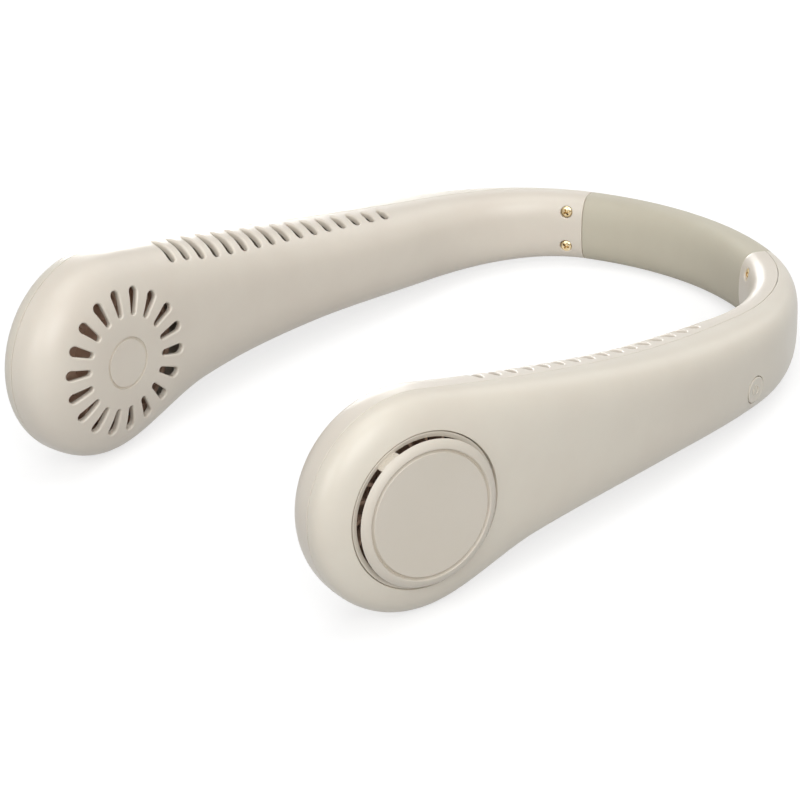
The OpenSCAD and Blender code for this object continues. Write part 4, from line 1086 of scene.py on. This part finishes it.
def addButton():
    s0, r, z0 = controls["buttonS"], controls["buttonR"], controls["buttonZ"]
    top = skinAt(s0, 0.0, z0, True) + buttonCap["proud"]
    rim, low = r - buttonCap["rimW"], top - buttonCap["dish"]
    stem, foot, flange = buttonCap["stemR"], buttonCap["stemZ"], r + buttonCap["flangeW"]
    under, over = buttonCap["flangeZ"]
    # the stem and the flange that keeps the cap in, then the cap's wall, rim and dished face
    profile = [(0.0, foot), (stem, foot), (stem, under), (flange, under), (flange, over),
               (r, over + 0.03), (r, over + 1.55), (r, top - 0.3), (r - 0.05, top - 0.1),
               (r - 0.18, top), (r - 0.36, top + 0.03), (rim + 0.2, top), (rim + 0.05, top - 0.06),
               (rim - 0.08, low), (2.2, low - 0.03), (1.2, low - 0.04), (0.0, low - 0.04)]
    parts = [turnProfile("buttonBody", profile, finishes["outer_shell"], 72)]
    # a plain raised power sign: an open ring and a bar
    w, R, up = buttonCap["markW"] / 2, buttonCap["markR"], buttonCap["markUp"]
    section = [(-w, low - 0.2), (-w, low + up * 0.6), (-w * 0.5, low + up)]
    section += [(-x, z) for x, z in reversed(section)]
    turn, gap = rad(90 + buttonCap["turn"]), rad(buttonCap["markOpen"])
    first = buttonCap["barFrom"]
    circle = [(*polar(R, a), a)
              for a in evenly(turn + gap, turn + tau - gap, buttonCap["markRows"])]
    bar = [(*polar(q, turn), turn - pi / 2)
           for q in evenly(first, first + R + 0.1, buttonCap["barRows"])]
    parts += [raisedBar("signRing", circle, section), raisedBar("signBar", bar, section)]
    mesh = joinMeshes("powerButton", parts)
    for v in mesh.vertices:  # the face lies along the arm's skin
        if v.co.z > buttonCap["faceFrom"]:
            v.co.z += skinAt(s0, v.co.x, z0 + v.co.y, True) + buttonCap["proud"] - top
    mesh = turned(mesh, stationMatrix(s0) @ Matrix.Translation((0, z0, 0)))
    paint(smoothMesh(mesh, 36), "outer_shell")
    obj = addObject("powerButton", mesh)
    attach(obj, "button")
    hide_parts("power_button")


for label, mesh in shellPieces().items():
    side = label.split("_")[0]
    name = side + ("OuterShell" if "outer" in label else "InnerShell")
    obj = addObject(name, mesh)
    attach(obj, side + "_arm")
    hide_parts(label)
print("neck fan: shells made")

oneCover = coverMesh()
for side, tag in bothSides:
    mesh = smoothMesh(turned(oneCover, stationMatrix(fanS, side)), 38)
    paint(mesh, "intake_cover")
    obj = addObject(tag + "IntakeCover", mesh)
    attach(obj, tag + "_arm")
    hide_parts(tag + "_intake_cover")
print("neck fan: intake covers made")
addBand()
addScrews()
addButton()
print("neck fan: band, screws and button made")

# ---- camera, floor and light ----
shot = {"frame": 800, "sensor": 36.0, "focal": 2985.98, "distance": 842.98, "roll": -0.4626,
        "target": (0.0, -19.79, 11.30), "back": (0.7000, -0.5357, 0.4722), "clip": (0.01, 20.0)}
cameraData = bpy.data.cameras.new("photoCamera")
cameraData.sensor_width = shot["sensor"]
cameraData.lens = shot["focal"] / shot["frame"] * shot["sensor"]
cameraObj = bpy.data.objects.new("photoCamera", cameraData)
scene.collection.objects.link(cameraObj)
back = Vector(shot["back"]).normalized()
flatUp = Vector((0.0, sin(rad(form["tilt"])), cos(rad(form["tilt"]))))
side = flatUp.cross(back).normalized()
up = back.cross(side)
c, s = cos(rad(shot["roll"])), sin(rad(shot["roll"]))
side, up = side * c + up * s, up * c - side * s
spot = Vector(shot["target"]) * mm + back * shot["distance"] * mm
cameraObj.matrix_world = Matrix(((side.x, up.x, back.x, spot.x), (side.y, up.y, back.y, spot.y),
                                 (side.z, up.z, back.z, spot.z), (0, 0, 0, 1)))
cameraData.clip_start, cameraData.clip_end = shot["clip"]
scene.camera = cameraObj

studio = {"worldLevel": 0.17, "floorHalf": 3.0, "floorGap": 0.0003, "floorTone": 0.42,
          "floorRough": 0.9, "floorShine": 0.1, "floorGlow": 0.66, "farGlow": 0.93,
          "glowFrom": 0.3, "glowTo": 1.0}


def backgroundRay(tree):  # 1 where the eye, a reflection or clear plastic shows the background
    path = tree.nodes.new("ShaderNodeLightPath")
    value = path.outputs["Is Camera Ray"]
    for label in ("Is Glossy Ray", "Is Transmission Ray"):
        value = addNode(tree, "ShaderNodeMath", {0: value, 1: path.outputs[label]},
                        operation="MAXIMUM").outputs[0]
    return value


half, under = studio["floorHalf"], -studio["floorGap"]
floorMesh = meshFrom("floor", [(-half, -half, under), (half, -half, under), (half, half, under),
                               (-half, half, under)], [(0, 1, 2, 3)])
floorObj = addObject("floor", floorMesh)
floorMat = bpy.data.materials.new("paleFloor")
floorMat.use_nodes = True
floorTree = floorMat.node_tree
# the floor stays white further out, where the lamps no longer reach it
reach = addNode(floorTree, "ShaderNodeVectorMath", {
    0: addNode(floorTree, "ShaderNodeTexCoord").outputs["Object"]}, operation="LENGTH")
glow = addNode(floorTree, "ShaderNodeMapRange", {
    "Value": reach.outputs["Value"], "From Min": studio["glowFrom"], "From Max": studio["glowTo"],
    "To Min": studio["floorGlow"], "To Max": studio["farGlow"]})
seen = addNode(floorTree, "ShaderNodeMath", {
    0: backgroundRay(floorTree), 1: glow.outputs["Result"]}, operation="MULTIPLY")
feed(floorTree, floorTree.nodes["Principled BSDF"], {
    "Base Color": (studio["floorTone"],) * 3 + (1,), "Roughness": studio["floorRough"],
    "Specular IOR Level": studio["floorShine"], "Emission Color": (1, 1, 1, 1),
    "Emission Strength": seen.outputs[0]})
floorMesh.materials.append(floorMat)

world = bpy.data.worlds.new("studio")
scene.world = world
world.use_nodes = True
worldTree = world.node_tree
whiteMix = addNode(worldTree, "ShaderNodeMapRange", {
    "Value": backgroundRay(worldTree), "To Min": studio["worldLevel"], "To Max": 1.0})
feed(worldTree, worldTree.nodes["Background"], {
    "Color": (1, 1, 1, 1), "Strength": whiteMix.outputs["Result"]})

lamps = {  # name: place, what it points at, size, power
    "keyBox": ((0.25, -1.2, 0.78), (0, -0.01, 0.03), 0.8, 5.0),
    "topBox": ((0.15, -0.1, 1.25), (0, -0.02, 0.02), 1.0, 5.8),
    "sideBox": ((1.0, -0.5, 0.75), (0, -0.02, 0.02), 0.8, 8.4),
    "backBox": ((0.1, 0.9, 0.7), (0, 0.0, 0.02), 0.8, 2.4),
    "fillBox": ((-1.0, 0.6, 0.24), (0, -0.02, 0.02), 0.4, 4.0),
}
for name, (place, aim, size, power) in lamps.items():
    light = bpy.data.lights.new(name, "AREA")
    light.shape, light.size, light.energy = "SQUARE", size, power
    lamp = bpy.data.objects.new(name, light)
    scene.collection.objects.link(lamp)
    lamp.location = place
    lamp.rotation_mode = "QUATERNION"
    lamp.rotation_quaternion = (Vector(aim) - Vector(place)).to_track_quat("-Z", "Y")
scene.view_settings.view_transform = "Standard"
print("neck fan: studio ready")
